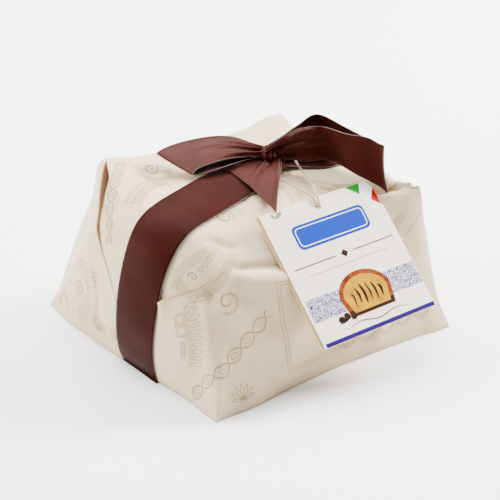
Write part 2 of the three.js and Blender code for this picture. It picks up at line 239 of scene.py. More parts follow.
def look_output(look, kind, output):
    return look.node_tree.nodes.new("ShaderNode" + kind).outputs[output]


def noise(look, place, scale, detail=3.0, roughness=0.55):
    return add(look, "TexNoise", {"Vector": place, "Scale": scale, "Detail": detail, "Roughness": roughness})


def stretched(look, place, x, y, z):
    return add(look, "Mapping", {"Vector": place, "Scale": (x, y, z)})


def remap(look, value, low, high, to_low=0.0, to_high=1.0):
    values = {"Value": value, "From Min": low, "From Max": high, "To Min": to_low, "To Max": to_high}
    return add(look, "MapRange", values)


def mix(look, share, a, b):
    return add(look, "Mix", {0: share, 6: a, 7: b}, data_type="RGBA").node.outputs[2]


def maths(look, operation, a, b):
    return add(look, "Math", {0: a, 1: b}, operation=operation)


def bump(look, *layers):
    """Height layers as (output, distance in metres), the coarsest first."""
    normal = None
    for height, distance in layers:
        values = {"Height": height, "Strength": 1.0, "Distance": distance}
        if normal is not None:
            values["Normal"] = normal
        normal = add(look, "Bump", values)
    feed(look, "Normal", normal)


def colour(red, green, blue):
    """A colour from 0 to 255 values as seen on a screen, made linear."""
    parts = [c / 255 for c in (red, green, blue)]
    return tuple(c / 12.92 if c <= 0.04045 else ((c + 0.055) / 1.055) ** 2.4 for c in parts) + (1.0,)


def paper_look(name, light, dark):
    look = new_look(name, Roughness=0.5, Specular_IOR_Level=0.3, Sheen_Weight=0.05)
    place = position(look)
    cloud = remap(look, noise(look, place, 14.0, 4.0), 0.3, 0.7)
    fibre = noise(look, stretched(look, place, 1.0, 1.0, 0.45), 1500.0, 2.0)
    tone = mix(look, cloud, light, dark)
    tone = mix(look, remap(look, fibre, 0.45, 0.8, 0.0, 0.12), tone, dark)
    feed(look, "Base Color", tone)
    feed(look, "Roughness", remap(look, noise(look, place, 90.0), 0.3, 0.7, 0.42, 0.58))
    dents, creases = noise(look, place, 24.0), noise(look, place, 130.0)
    bump(look, (dents, 0.0016), (creases, 0.00022), (fibre, 0.00003))
    return look


def pocket_shade_look():
    """The paper's tan inner side, with painted shade making it deep brown down in the fold."""
    look = new_look("paper_inner_side_painted_shade", Roughness=0.7, Specular_IOR_Level=0.1)
    depth = add(look, "Attribute", {}, attribute_name="depth").node.outputs["Fac"]
    place = position(look)
    cloud = remap(look, noise(look, place, 160.0), 0.3, 0.7)
    # Painted shade: deep browns in the fold, easing towards the paper's own tan at the lip.
    inner = mix(look, cloud, colour(36, 20, 8), colour(58, 34, 14))
    shade_easing_to_lip = mix(look, remap(look, depth, 0.3, 0.75), inner, colour(88, 56, 24))
    feed(look, "Base Color", mix(look, remap(look, depth, 0.78, 0.96), shade_easing_to_lip, colour(176, 142, 102)))
    bump(look, (cloud, 0.0001), (noise(look, place, 1500.0, 2.0), 0.00003))
    return look


def satin_look(name, shine, tones):
    look = new_look(name, Roughness=0.34, Specular_IOR_Level=shine, Anisotropic=0.5,
                    Specular_Tint=colour(250, 136, 120))
    flat = flat_position(look)
    ribs = add(look, "TexWave", {"Vector": flat, "Scale": 560.0, "Distortion": 0.6, "Detail": 1.0},
               wave_type="BANDS", bands_direction="X")
    grains = noise(look, stretched(look, flat, 1700.0, 2000.0, 1.0), 1.0, 3.0, 0.8)
    # Painted glints: fine specks of lighter pink-brown scattered in the colour.
    painted_glints = remap(look, grains, 0.55, 0.8)
    # Broad patches of uneven tone along the ribbon, the lighter ones standing in as painted sheen.
    cloud = noise(look, stretched(look, flat, 55.0, 22.0, 1.0), 1.0, 3.0)
    base = mix(look, remap(look, cloud, 0.3, 0.7), *tones)
    feed(look, "Base Color", mix(look, maths(look, "MULTIPLY", painted_glints, 0.7), base, colour(132, 62, 48)))
    feed(look, "Roughness", remap(look, grains, 0.3, 0.75, 0.26, 0.5))
    bump(look, (ribs, 0.00006), (grains, 0.00009))
    return look


def selvedge_look():
    look = new_look("satin_selvedge", Roughness=0.5, Sheen_Weight=0.3)
    flat = flat_position(look)
    thread = add(look, "TexWave", {"Vector": flat, "Scale": 420.0, "Distortion": 1.0}, wave_type="BANDS")
    feed(look, "Base Color", mix(look, thread, colour(46, 18, 14), colour(104, 62, 52)))
    bump(look, (thread, 0.00008))
    return look


def card_look(name, light, dark):
    look = new_look(name, Roughness=0.5, Specular_IOR_Level=0.08)
    place = position(look)
    fibre = noise(look, place, 2200.0, 2.0)
    cloud = remap(look, noise(look, place, 40.0), 0.3, 0.7)
    feed(look, "Base Color", mix(look, maths(look, "MULTIPLY", cloud, 0.5), light, dark))
    feed(look, "Roughness", remap(look, fibre, 0.3, 0.7, 0.46, 0.6))
    bump(look, (noise(look, place, 60.0), 0.0001), (fibre, 0.00002))
    return look


def ink_look(name, light, dark, scale=900.0, roughness=0.45):
    """Printed ink: flat colour with the faint mottle of paper showing through."""
    look = new_look(name, Roughness=roughness, Specular_IOR_Level=0.03)
    place = position(look)
    grain = remap(look, noise(look, place, scale, 3.0), 0.35, 0.68)
    feed(look, "Base Color", mix(look, grain, light, dark))
    feed(look, "Roughness", remap(look, grain, 0, 1, roughness - 0.06, roughness + 0.08))
    bump(look, (grain, 0.00002))
    return look


def twine_look():
    look = new_look("twine_natural", Roughness=0.85, Sheen_Weight=0.3)
    place = position(look)
    twist = add(look, "TexWave", {"Vector": place, "Scale": 380.0, "Distortion": 1.5, "Detail": 1.0},
                wave_type="BANDS", bands_direction="DIAGONAL")
    fuzz = noise(look, place, 3000.0, 3.0)
    feed(look, "Base Color", mix(look, twist, colour(158, 134, 100), colour(212, 194, 164)))
    bump(look, (twist, 0.0003), (fuzz, 0.00008))
    return look


def crust_look():
    look = new_look("baked_crust", Roughness=0.55, Coat_Weight=0.15)
    place = position(look)
    patches = remap(look, noise(look, place, 26.0, 5.0), 0.32, 0.68)
    pores = noise(look, place, 420.0, 4.0)
    crust = mix(look, patches, colour(92, 42, 15), colour(164, 92, 38))
    height = look_output(look, "NewGeometry", "Position")
    level = add(look, "SeparateXYZ", {"Vector": height}).node.outputs["Z"]
    side = remap(look, level, 0.055, 0.085, 1.0, 0.0)
    feed(look, "Base Color", mix(look, side, crust, colour(196, 136, 70)))
    feed(look, "Roughness", remap(look, pores, 0.3, 0.7, 0.4, 0.75))
    bump(look, (patches, 0.0012), (pores, 0.0005))
    return look


def case_look():
    look = new_look("baking_paper_brown", Roughness=0.7)
    place = position(look)
    fibre = noise(look, stretched(look, place, 1.0, 1.0, 0.3), 900.0, 3.0)
    feed(look, "Base Color", mix(look, remap(look, fibre, 0.3, 0.7), colour(92, 54, 30), colour(122, 76, 44)))
    feed(look, "Roughness", remap(look, fibre, 0.3, 0.7, 0.55, 0.85))
    bump(look, (fibre, 0.00015))
    return look


def film_look():
    look = new_look("clear_film", Roughness=0.12, IOR=1.3, Alpha=0.28, Specular_IOR_Level=0.6,
                    Base_Color=colour(240, 242, 244))
    place = position(look)
    creases = noise(look, stretched(look, place, 1.0, 1.0, 0.25), 70.0, 4.0)
    feed(look, "Roughness", remap(look, creases, 0.3, 0.7, 0.06, 0.22))
    bump(look, (creases, 0.0015))
    return look


def tie_look():
    look = new_look("bag_tie_gold", Roughness=0.3, Metallic=0.85)
    place = position(look)
    ridges = add(look, "TexWave", {"Vector": place, "Scale": 600.0, "Distortion": 0.5}, wave_type="BANDS",
                 bands_direction="Z")
    feed(look, "Base Color", mix(look, ridges, colour(196, 158, 84), colour(226, 196, 128)))
    bump(look, (ridges, 0.0001))
    return look


PAPER = paper_look("printed_paper", colour(214, 194, 162), colour(202, 180, 146))
PAPER_EDGE = ink_look("paper_cut_edge", colour(204, 170, 122), colour(188, 152, 104), roughness=0.6)
PRINT_GOLD = ink_look("print_pale_gold", colour(170, 150, 110), colour(152, 130, 90))
# One satin in two copies: the bow's has lighter tones and more shine for painted sheen, the band's has darker
# tones as painted shade and less shine.
SATIN = satin_look("satin_brown", 0.13, (colour(34, 11, 8), colour(54, 19, 14)))
SATIN_SHADED = satin_look("satin_brown_shaded_copy", 0.04, (colour(31, 8, 5), colour(42, 14, 10)))
SELVEDGE = selvedge_look()
CARD = card_look("tag_card", colour(238, 229, 210), colour(230, 219, 198))
CARD_EDGE = card_look("tag_card_edge", colour(214, 184, 130), colour(200, 166, 108))
TWINE = twine_look()

# ---- string and its knot ----

TAG_THICKNESS = 0.7
TAG_LEAF_GAP = 0.5
TAG_HEIGHT = 103.6
TAG_WIDTH = 103
TAG_HOLE = (49.8, 97.2)
TAG_HOLE_RADIUS = 2.6
TAG_CORNER = np.array([-31.7, -127.4, 41.0])
TAG_LEAN = math.radians(45.6)
TAG_RIGHT = np.array([1.0, 0, 0])
TAG_UP = np.array([0, math.sin(TAG_LEAN), math.cos(TAG_LEAN)])
TAG_OUT = np.array([0, -math.cos(TAG_LEAN), math.sin(TAG_LEAN)])
STRING_DIAMETER = 1.5
STRING_SIDE = 0.95
STRING_START = -(2 * TAG_THICKNESS + TAG_LEAF_GAP) - 0.2


def on_tag(right, height, outward):
    return TAG_CORNER + right * TAG_RIGHT + height * TAG_UP + outward * TAG_OUT


def string_route():
    def strand(side, outward):
        return on_tag(TAG_HOLE[0] + side * STRING_SIDE, TAG_HOLE[1] + 0.5, outward)

    return np.array([
        strand(-1, STRING_START),
        strand(-1, 0.2),
        on_tag(TAG_HOLE[0] - 1.3, TAG_HOLE[1] + 2.6, 1.8),
        on_tag(TAG_HOLE[0] - 1.8, TAG_HEIGHT + 0.8, 1.7),
        (15.5, -40, 116.4),
        (12, -24, 119),
        (7, -8, 121.4),
        (8, 8, 122),
        (20, 16, 122),
        (34, 12, 121.8),
        (41, 0, 120.8),
        (37, -14, 118.6),
        (30, -36, 116.2),
        on_tag(TAG_HOLE[0] + 2.2, TAG_HEIGHT + 0.8, 1.7),
        on_tag(TAG_HOLE[0] + 1.3, TAG_HOLE[1] + 2.6, 1.8),
        strand(1, 0.2),
        strand(1, STRING_START),
    ])


def make_string():
    line = spline(string_route(), np.linspace(0, 1, 200)) * MM
    data = bpy.data.curves.new("tag_twine", "CURVE")
    data.dimensions = "3D"
    data.bevel_depth = STRING_DIAMETER / 2 * MM
    data.bevel_resolution = 4
    data.use_fill_caps = True
    run = data.splines.new("POLY")
    run.points.add(len(line) - 1)
    run.points.foreach_set("co", np.c_[line, np.ones(len(line))].ravel())
    twine = link(bpy.data.objects.new("tag_twine", data))
    length = float(np.linalg.norm(np.diff(line, axis=0), axis=1).sum())
    return finish_piece(twine, TWINE, "twine", "tag_string"), length, line[0]


def tube(name, line, radius, sides=10):
    """A closed tube round a closed line."""
    ahead = unit(np.roll(line, -1, 0) - np.roll(line, 1, 0))
    side = unit(np.cross(ahead, unit(line - line.mean(0)) + 0.01))
    rise = np.cross(side, ahead)
    turn = full_turn(sides)
    reach = side[:, None] * np.cos(turn)[:, None] + rise[:, None] * np.sin(turn)[:, None]
    ring = line[:, None] + radius * reach
    count = len(line)
    faces = []
    for i in range(count):
        a, b = i * sides, ((i + 1) % count) * sides
        for j in range(sides):
            k = (j + 1) % sides
            faces.append((a + j, b + j, b + k, a + k))
    return build(name, ring.reshape(-1, 3), faces)


def make_string_knot():
    turn = full_turn(120)
    across = 0.62 * (np.sin(turn) + 2 * np.sin(2 * turn))
    high = 0.34 * (np.cos(turn) - 2 * np.cos(2 * turn))
    deep = -0.7 * np.sin(3 * turn)
    middle = on_tag(TAG_HOLE[0], TAG_HOLE[1] + 0.5, STRING_START - 0.35 - 1.8)
    line = middle + across[:, None] * TAG_RIGHT + high[:, None] * TAG_UP + deep[:, None] * TAG_OUT
    knot = tube("tag_twine_knot", line, STRING_DIAMETER / 2)
    return finish_piece(knot, TWINE, "twine", "string_knot")


twine, twine_length, twine_exit = make_string()
make_string_knot()

# ---- wrapping paper ----

# Stations round the parcel, each at seven levels from the base edge to the top.
STATIONS = np.array([
    # end face, under the ribbon
    [[-110, -16, 0], [-112.5, -16, 24], [-110.5, -16, 54], [-101, -15, 84],
     [-84, -13, 107], [-50, -9, 115], [-22, -3, 117.6]],
    # end face, towards the front corner
    [[-106, -71, 0], [-106, -68, 24], [-101, -60, 54], [-88, -54, 84],
     [-70, -46, 101], [-44, -30, 111], [-20, -13, 116.6]],
    # front corner
    [[-108, -104, 0], [-98, -95, 22], [-84, -83, 52], [-67, -71, 80],
     [-52, -56, 97], [-34, -36, 110], [-15, -15, 116.6]],
    # front face, along the soft ridge
    [[-42, -101, 0], [-44, -100, 24], [-41, -96, 52], [-34, -84, 77],
     [-26, -64, 97.5], [-15, -37, 113], [-6, -14, 117.4]],
    # front face, middle
    [[8, -99, 0], [8, -99, 24], [8, -96, 52], [8, -84.5, 77],
     [8, -63, 99.5], [6, -35, 113.5], [3, -10, 117.8]],
    # front face, towards the right corner
    [[58, -101, 0], [58, -101, 24], [55, -96, 50], [50, -86, 72],
     [42, -66, 93], [26, -36, 110], [10, -12, 117.2]],
    [[84, -103, 0], [82, -99, 24], [80, -94, 50], [77, -85, 70],
     [70, -72, 88], [46, -42, 104], [18, -14, 116]],
    # right corner
    [[109, -106, 0], [104, -99, 22], [100, -91, 52], [100, -82, 82],
     [101, -73, 108], [82, -56, 97], [27, -15, 114.6]],
    # far end face
    [[110, -52, 0], [110, -51, 24], [107, -50, 54], [102, -49, 84],
     [91, -46, 104], [56, -28, 108], [24, -10, 116]],
    [[110, 5, 0], [111, 5, 24], [109, 5, 54], [102, 5, 84],
     [86, 5, 106], [52, 4, 113.5], [22, 3, 117.6]],
    [[110, 56, 0], [110, 55, 24], [107, 54, 54], [101, 52, 84],
     [91, 50, 105], [55, 30, 109], [24, 15, 116.6]],
    # back corner
    [[109, 107, 0], [103, 100, 22], [98, 92, 52], [96, 86, 84],
     [96, 81, 115], [56, 46, 107], [22, 18, 116.2]],
    # back face
    [[57, 104, 0], [57, 104, 24], [57, 101, 54], [57, 95, 84],
     [57, 83, 109], [34, 47, 109.5], [14, 18, 116.8]],
    [[0, 103, 0], [0, 103, 24], [0, 102, 54], [0, 96, 84],
     [0, 81, 110.5], [0, 46, 111.5], [0, 20, 117]],
    [[-55, 104, 0], [-55, 104, 24], [-54, 101, 54], [-52, 94, 84],
     [-48, 80, 116], [-28, 46, 111], [-12, 20, 117]],
    # left corner
    [[-108, 107, 0], [-101, 101, 20], [-92, 95, 50], [-80, 88, 86],
     [-71, 82, 120], [-44, 50, 110], [-17, 20, 117]],
    # end face, towards the left corner
    [[-111.5, 50, 0], [-112, 50, 24], [-109, 46, 54], [-101, 41, 84],
     [-88, 36, 109], [-52, 24, 115], [-22, 10, 118]],
], float)
LEVELS = STATIONS.shape[1] - 1
WRAP_TOP = np.array([0, 3, 118.2])
WRAP_MIDDLE = np.array([0, 3, 55.0])
STEPS_PER_STATION = 22
STEPS_PER_LEVEL = 16
RIBBON_WIDTH = 42
RIBBON_THICKNESS = 0.7
RIBBON_SLANT = 0.12
CHANNEL_TOP = 1.05


def ribbon_middle(x):
    return RIBBON_SLANT * x - 3


def ripple(points):
    """The slight unevenness of hand-folded paper, in millimetres."""
    waves = (
        (0.45, (0.055, 0.020, 0.070), 0.4),
        (0.35, (-0.030, 0.085, 0.045), 2.1),
        (0.25, (0.110, -0.060, 0.090), 4.0),
        (0.15, (0.190, 0.130, -0.170), 1.2),
    )
    return sum(size * np.sin(points @ np.array(way) + start) for size, way, start in waves)


# Folds pressed into the paper: two ends, half width, and height in millimetres.
FOLDS = (
    ((-62, -73, 79), (-26, -87, 77), 7.0, 2.4),
    ((-64, -65, 87), (-18, -81, 84), 3.2, -2.0),
    ((-25, -90, 68), (-45, -101, 12), 5.0, 1.8),
    ((-38, -90, 66), (-60, -101, 14), 8.0, -1.6),
    ((-106, -102, 2), (-86, -62, 78), 6.0, 1.4),
    ((-98, -66, 50), (-104, -84, 8), 9.0, -1.5),
    ((-70, -43, 104), (-53, -57, 97), 4.0, -1.3),
    ((-108, 100, 6), (-99, 50, 86), 5.0, 1.2),
    ((-10, 20, 117), (-68, 80, 119), 6.0, 1.3),
    ((14, 22, 117), (90, 78, 114), 6.0, 1.4),
    ((-74, -68, 80), (-44, -96, 46), 9.0, -2.2),
    ((-88, -66, 66), (-70, -92, 36), 7.0, 1.2),
    ((10, 40, 113), (10, 84, 109), 7.0, -1.6),
    ((30, -30, 112), (96, -70, 107), 6.0, 1.3),
    ((22, -34, 112), (20, -66, 96), 6.0, -1.4),
    ((40, -100, 6), (52, -92, 52), 7.0, 1.4),
    ((104, -40, 60), (96, -44, 94), 7.0, -1.5),
    ((80, -30, 105), (93, -55, 107), 7.5, 3.6),
    ((68, -52, 106), (88, -64, 105), 8.0, 2.2),
    ((101, -73, 109), (99, -66, 110), 6.0, -2.0),
    ((110, -60, 10), (104, -20, 84), 6.0, 1.3),
    ((110, 40, 12), (100, 30, 84), 7.0, -1.4),
    ((60, 104, 10), (30, 96, 84), 7.0, 1.5),
    ((-30, 103, 12), (-50, 94, 84), 7.0, -1.5),
)


def pressed(points):
    """The height of the folds at each point."""
    total = np.zeros(points.shape[:-1])
    for start, end, width, height in FOLDS:
        start, end = np.array(start, float), np.array(end, float)
        axis = end - start
        along = (points - start) @ axis / (axis @ axis)
        nearest = start + np.clip(along, 0, 1)[..., None] * axis
        away = np.linalg.norm(points - nearest, axis=-1)
        ends = smooth_step(-0.12, 0.2, along) * smooth_step(-0.12, 0.2, 1 - along)
        total += height * np.exp(-((away / width) ** 2)) * ends
    return total


# How far each corner station is creased at each level, from 0 for round to 1 for sharp.
CORNER_CREASES = {
    2: (1.0, 0.7, 0.35, 0.2, 0.2, 0.2, 0.0),
    7: (1.0, 0.8, 0.7, 0.7, 0.8, 0.5, 0.0),
    11: (1.0, 0.8, 0.7, 0.7, 0.8, 0.5, 0.0),
    15: (1.0, 0.8, 0.7, 0.7, 0.7, 0.4, 0.0),
}


def straight_ring(points, places):
    """The same ring with straight sides between its points."""
    count = len(points)
    spot = count * places
    first = np.floor(spot).astype(int)
    share = (spot - first)[:, None]
    return points[first % count] * (1 - share) + points[(first + 1) % count] * share


def creased_ring(level, places):
    points = STATIONS[:, level]
    ring = spline(points, places, closed=True)
    straight = straight_ring(points, places)
    count = len(points)
    for corner, creases in CORNER_CREASES.items():
        away = np.abs((count * places - corner + count / 2) % count - count / 2)
        share = creases[level] * (1 - smooth_step(0.0, 1.0, away))
        ring = ring + (straight - ring) * share[:, None]
    return ring


def wrap_rows():
    count = len(STATIONS) * STEPS_PER_STATION
    around = np.arange(count) / count
    levels = np.stack([creased_ring(level, around) for level in range(LEVELS + 1)])
    return spline(levels, np.linspace(0, 1, LEVELS * STEPS_PER_LEVEL + 1))


def outward(rows):
    ahead = np.roll(rows, -1, 1) - np.roll(rows, 1, 1)
    normals = unit(np.cross(ahead, np.gradient(rows, axis=0)))
    facing = np.sign(((rows - WRAP_MIDDLE) * normals).sum(-1, keepdims=True))
    return normals * facing


FOLD_GAIN = 1.4

smooth_rows = wrap_rows()
paper_normals = outward(smooth_rows)
edge_fade = smooth_step(0, 10, smooth_rows[..., 2])
relief = (ripple(smooth_rows) + FOLD_GAIN * pressed(smooth_rows)) * edge_fade
paper_rows = smooth_rows + paper_normals * relief[..., None]


def clear_ribbon(rows):
    """Lifts the base edge off the ribbon that passes under it."""
    lifted = rows.copy()
    under = np.abs(rows[..., 1] - ribbon_middle(rows[..., 0])) < RIBBON_WIDTH / 2 + 0.6
    lifted[..., 2] = np.where(under, np.maximum(rows[..., 2], CHANNEL_TOP), rows[..., 2])
    lifted[..., 0] *= np.where(under, 1 - 0.014 * (1 - smooth_step(1.0, 7.0, rows[..., 2])), 1.0)
    return lifted


def make_wrap():
    rows = clear_ribbon(paper_rows)
    foot = rows[0] * np.array([0.965, 0.965, 0]) + np.array([0, 0, CHANNEL_TOP])
    inner = foot * np.array([0.5, 0.5, 1])
    rings = np.concatenate([[inner], [foot], rows])
    points, faces = ring_solid(rings, (0, 0, CHANNEL_TOP), WRAP_TOP)
    wrap = build("wrapping_paper_body", points, faces)
    finish_piece(wrap, PAPER, "wrapping_paper", "wrapping_paper")
    return points, faces


def on_wrap(station, level, lift=0.0):
    """Points of the paper from station and level numbers, raised by lift."""
    count = smooth_rows.shape[1]
    u = (np.asarray(station, float) % len(STATIONS)) * STEPS_PER_STATION
    v = np.clip(np.asarray(level, float), 0, LEVELS) * STEPS_PER_LEVEL
    i = np.minimum(np.floor(v).astype(int), smooth_rows.shape[0] - 2)
    j = np.floor(u).astype(int) % count
    k = (j + 1) % count
    a, b = (v - i)[..., None], (u - np.floor(u))[..., None]

    def blended(grid):
        low = grid[i, j] * (1 - b) + grid[i, k] * b
        high = grid[i + 1, j] * (1 - b) + grid[i + 1, k] * b
        return low * (1 - a) + high * a

    return blended(paper_rows) + unit(blended(paper_normals)) * np.asarray(lift)[..., None]


def flap_rows(free_edge, far_edge, steps, lift):
    """A sheet between two lines of station and level numbers; lift is a function of along and down."""
    along = np.linspace(0, 1, steps[0])
    down = np.linspace(0, 1, steps[1])
    near = spline(free_edge, along)
    far = spline(far_edge, along)
    place = near[None] * (1 - down[:, None, None]) + far[None] * down[:, None, None]
    height = lift(along[None, :], down[:, None])
    return on_wrap(place[..., 0], place[..., 1], np.broadcast_to(height, place.shape[:2]))


def front_lift(along, down):
    curl = 1.3 * np.exp(-down / 0.07) * smooth_step(0.06, 0.1, along)
    gape = 2.4 * np.exp(-(((along - 0.1) / 0.03) ** 2)) * np.exp(-down / 0.12)
    settle = smooth_step(0, 0.2, 1 - down) * smooth_step(0.42, 0.58, 1 - along)
    return 0.15 + (0.45 + curl + gape) * settle


def side_lift(along, down):
    settle = smooth_step(0, 0.06, along) * smooth_step(0, 0.35, 1 - down)
    gape = 1.6 * smooth_step(0.03, 0.24, along) * smooth_step(0.43, 0.71, 1 - along)
    return 0.1 + (0.6 + (0.5 + gape) * np.exp(-down / 0.12)) * settle


FRONT_EDGE = [(0.25, 2.1), (0.7, 2.5), (1.3, 2.9), (1.9, 3.35), (3.0, 3.2), (5.0, 3.1), (6.9, 3.3)]
FRONT_FOOT = [(station, 0.06) for station in (0.25, 1.0, 1.8, 2.3, 3.2, 5.0, 6.9)]
SIDE_EDGE = [(15.1, 4.1), (15.6, 4.05), (15.85, 3.7), (15.95, 3.2), (16.15, 2.8), (16.4, 2.4), (16.7, 1.7),
             (16.8, 1.2)]
SIDE_FOOT = [(15.6, 5.0), (16.2, 4.9), (16.7, 4.6), (16.9, 4.0), (17.0, 3.4), (17.0, 2.6), (17.1, 1.8),
             (17.1, 1.2)]

# Far side of the pocket under the side sheet: a wide opening at the corner that runs down into a narrow gap.
POCKET_SWELL = (0, 0.9, 1, 0.6, 0.2, 0.1, 0, 0)
POCKET_EDGE = [(station - 0.04 - 0.16 * swell, level - 0.28 * swell)
               for (station, level), swell in zip(SIDE_EDGE, POCKET_SWELL)]

FLAP_THICKNESS = 0.3


def cut_edge(name, row, below):
    """The tan cut edge of a flap, as a narrow band along its free side."""
    step = unit(below - row)
    ahead = unit(np.gradient(row, axis=0))
    normal = unit(np.cross(ahead, step))
    rows = np.stack([row - step * 0.1 + normal * side for side in (-0.45, 0.0, 0.45)], axis=1)
    edge = sheet_mesh(name, rows, 0.35)
    return finish_piece(edge, PAPER_EDGE, "wrapping_paper")


def make_pocket_shade():
    """The paper's inner side as a sheet with painted shade, seen under the lifted edge of the side sheet."""
    under = [(station + 0.04, level + 0.02) for station, level in SIDE_EDGE]
    rows = flap_rows(under, POCKET_EDGE, (160, 24), lambda along, down: 0.2)
    lining = sheet_mesh("wrapping_paper_pocket_painted_shade", rows, 0.2)
    share = np.repeat(np.linspace(0, 1, rows.shape[0]), rows.shape[1])
    # Painted shade fades from 0 under the side sheet's edge to 1 at the lip.
    paint(lining, "depth", np.tile(share, 2))
    return finish_piece(lining, pocket_shade_look(), "wrapping_paper")


def make_flap(name, free_edge, far_edge, steps, lift, edge_share=1.0):
    rows = flap_rows(free_edge, far_edge, steps, lift)
    flap = sheet_mesh(name, rows, FLAP_THICKNESS)
    finish_piece(flap, PAPER, "wrapping_paper")
    shown = int(edge_share * steps[0])
    cut_edge(name + "_cut_edge", rows[0, :shown], rows[1, :shown])
    face = flap_rows(free_edge, far_edge, steps, lambda a, d: lift(a, d) + FLAP_THICKNESS / 2)
    return face.reshape(-1, 3), grid_faces(*face.shape[:2])


def joined_surface(parts):
    points, faces = [], []
    for part_points, part_faces in parts:
        base = len(points)
        points.extend(map(Vector, part_points.tolist()))
        faces.extend(tuple(base + v for v in f) for f in part_faces)
    return BVHTree.FromPolygons(points, faces)


wrap_surface = make_wrap()
make_pocket_shade()
ribbon_ground = joined_surface([wrap_surface])
paper = joined_surface([
    wrap_surface,
    make_flap("wrapping_paper_front_flap", FRONT_EDGE, FRONT_FOOT, (300, 90), front_lift, 0.5),
    make_flap("wrapping_paper_side_sheet", SIDE_EDGE, SIDE_FOOT, (160, 60), side_lift),
])

# ---- print on the paper ----

PRINT_WIDTH = 0.44
PRINT_LIFT = 0.13


def dropped(starts, facings, above, reach):
    """Where lines from above the starts meet the paper, going against the facings, and its normals there."""
    spots, normals = [], []
    for start, facing in zip(starts, facings):
        hit, found, _, _ = paper.ray_cast(Vector(start + facing * above), Vector(-facing), reach)
        if hit is None:
            continue
        found = np.array(found)
        spots.append(np.array(hit))
        normals.append(found if found @ facing > 0 else -found)
    return np.array(spots), np.array(normals)


class Place:
    """A point of the paper to draw at, with its right leading to another point."""

    def __init__(self, start, towards, facing=None):
        start, towards = np.array(start, float), np.array(towards, float)
        spot, normal, _, _ = paper.find_nearest(Vector(start))
        normal = np.array(normal) if facing is None else unit(np.array(facing, float))
        if normal @ (np.array(spot) - WRAP_MIDDLE) < 0:
            normal = -normal
        right = towards - start
        self.start, self.normal = start, normal
        self.right = unit(right - (right @ normal) * normal)
        self.rise = np.cross(normal, self.right)

    def laid(self, line):
        """The points of a flat line, x to the right and y up, dropped onto the paper."""
        starts = self.start + line[:, :1] * self.right + line[:, 1:] * self.rise
        return dropped(starts, [self.normal] * len(line), 30, 75)


def on_paper(points):
    """The nearest points of the paper and its outward normals there."""
    spots, normals = [], []
    for point in points:
        spot, facing, _, _ = paper.find_nearest(Vector(point))
        spot, facing = np.array(spot), np.array(facing)
        spots.append(spot)
        normals.append(facing if facing @ (spot - WRAP_MIDDLE) > 0 else -facing)
    return np.array(spots), np.array(normals)


class Trail:
    """A line through points of the paper, with room to draw on either side of it."""

    def __init__(self, *stops):
        stops = np.array(stops, float)
        fine = spline(stops, np.linspace(0, 1, 40 * len(stops)))
        spots, normals = on_paper(fine)
        steps = np.linalg.norm(np.diff(spots, axis=0), axis=1)
        self.along = np.concatenate([[0], np.cumsum(steps)])
        self.length = self.along[-1]
        self.spots = spots
        width = np.ones(15) / 15
        padded = np.pad(normals, ((7, 7), (0, 0)), mode="edge")
        self.normals = unit(np.stack([np.convolve(padded[:, k], width, "valid") for k in range(3)], axis=1))
        self.sides = unit(np.cross(self.normals, np.gradient(spots, axis=0)))

    def laid(self, line):
        """The points of a flat line, x along the trail and y to its left, dropped onto the paper."""
        x = np.clip(line[:, 0], 0, self.length)
        middle, side, normal = (
            np.stack([np.interp(x, self.along, grid[:, k]) for k in range(3)], axis=1)
            for grid in (self.spots, self.sides, self.normals)
        )
        return dropped(middle + side * line[:, 1:], unit(normal), 12, 26)


def ink_strip(spots, normals):
    ahead = unit(np.gradient(spots, axis=0))
    side = np.cross(normals, ahead) * PRINT_WIDTH / 2
    raised = spots + normals * PRINT_LIFT
    return np.stack([raised - side, raised + side], axis=1)


def print_lines(name, drawings):
    """Drawings are pairs of a place or a trail and its flat lines."""
    points, faces = [], []
    for place, lines in drawings:
        for line in lines:
            spots, normals = place.laid(line)
            if len(spots) < 3 or np.linalg.norm(np.diff(spots, axis=0), axis=1).max() > 9:
                continue
            base = sum(len(p) for p in points)
            points.append(ink_strip(spots, normals).reshape(-1, 3))
            faces.extend(tuple(base + v for v in f) for f in grid_faces(len(spots), 2))
    printed = build(name, np.concatenate(points), faces)
    return finish_piece(printed, PRINT_GOLD, "wrapping_paper")


def arc(radius, start, end, centre=(0.0, 0.0), steps=40, squash=1.0):
    turn = np.linspace(math.radians(start), math.radians(end), steps)
    return np.c_[centre[0] + radius * np.cos(turn), centre[1] + squash * radius * np.sin(turn)]


def box(left, low, right, high):
    return [(left, low), (right, low), (right, high), (left, high)]


def rope(length, swing=3.6, period=14.0):
    """Two double strands that twist round each other, with an eye in each opening."""
    along = np.linspace(0, length, int(length * 1.6))
    lines = []
    for side in (1, -1):
        wave = np.sin(math.pi * along / period)
        wave = side * swing * np.sign(wave) * np.abs(wave) ** 0.75
        lines += [np.c_[along, wave * (1 + grow)] for grow in (0.0, 0.32)]
    eyes = np.arange(period / 2, length, period)
    lines += [arc(period * 0.2, 0, 360, (x, 0), 22, 0.55) for x in eyes]
    return lines


def strands(length, count, gap, sway=0.0):
    """Lines side by side that sway together."""
    along = np.linspace(0, length, 60)
    swell = 0.75 + 0.25 * np.sin(math.pi * along / length)
    drift = sway * np.sin(2 * math.pi * along / length)
    return [np.c_[along, drift + gap * (k - (count - 1) / 2) * swell] for k in range(count)]


def scroll(radius, turns, sense=1, start=0.0):
    turn = np.linspace(0, 2 * math.pi * turns, int(46 * turns))
    reach = radius * (0.14 + 0.86 * turn / turn[-1])
    base = math.radians(start)
    outer = np.c_[reach * np.cos(base + sense * turn), reach * np.sin(base + sense * turn)]
    return [outer, outer * 0.84]


def bands(radius, start, end, gap=1.9):
    return [arc(radius + gap * k, start, end) for k in range(3)]


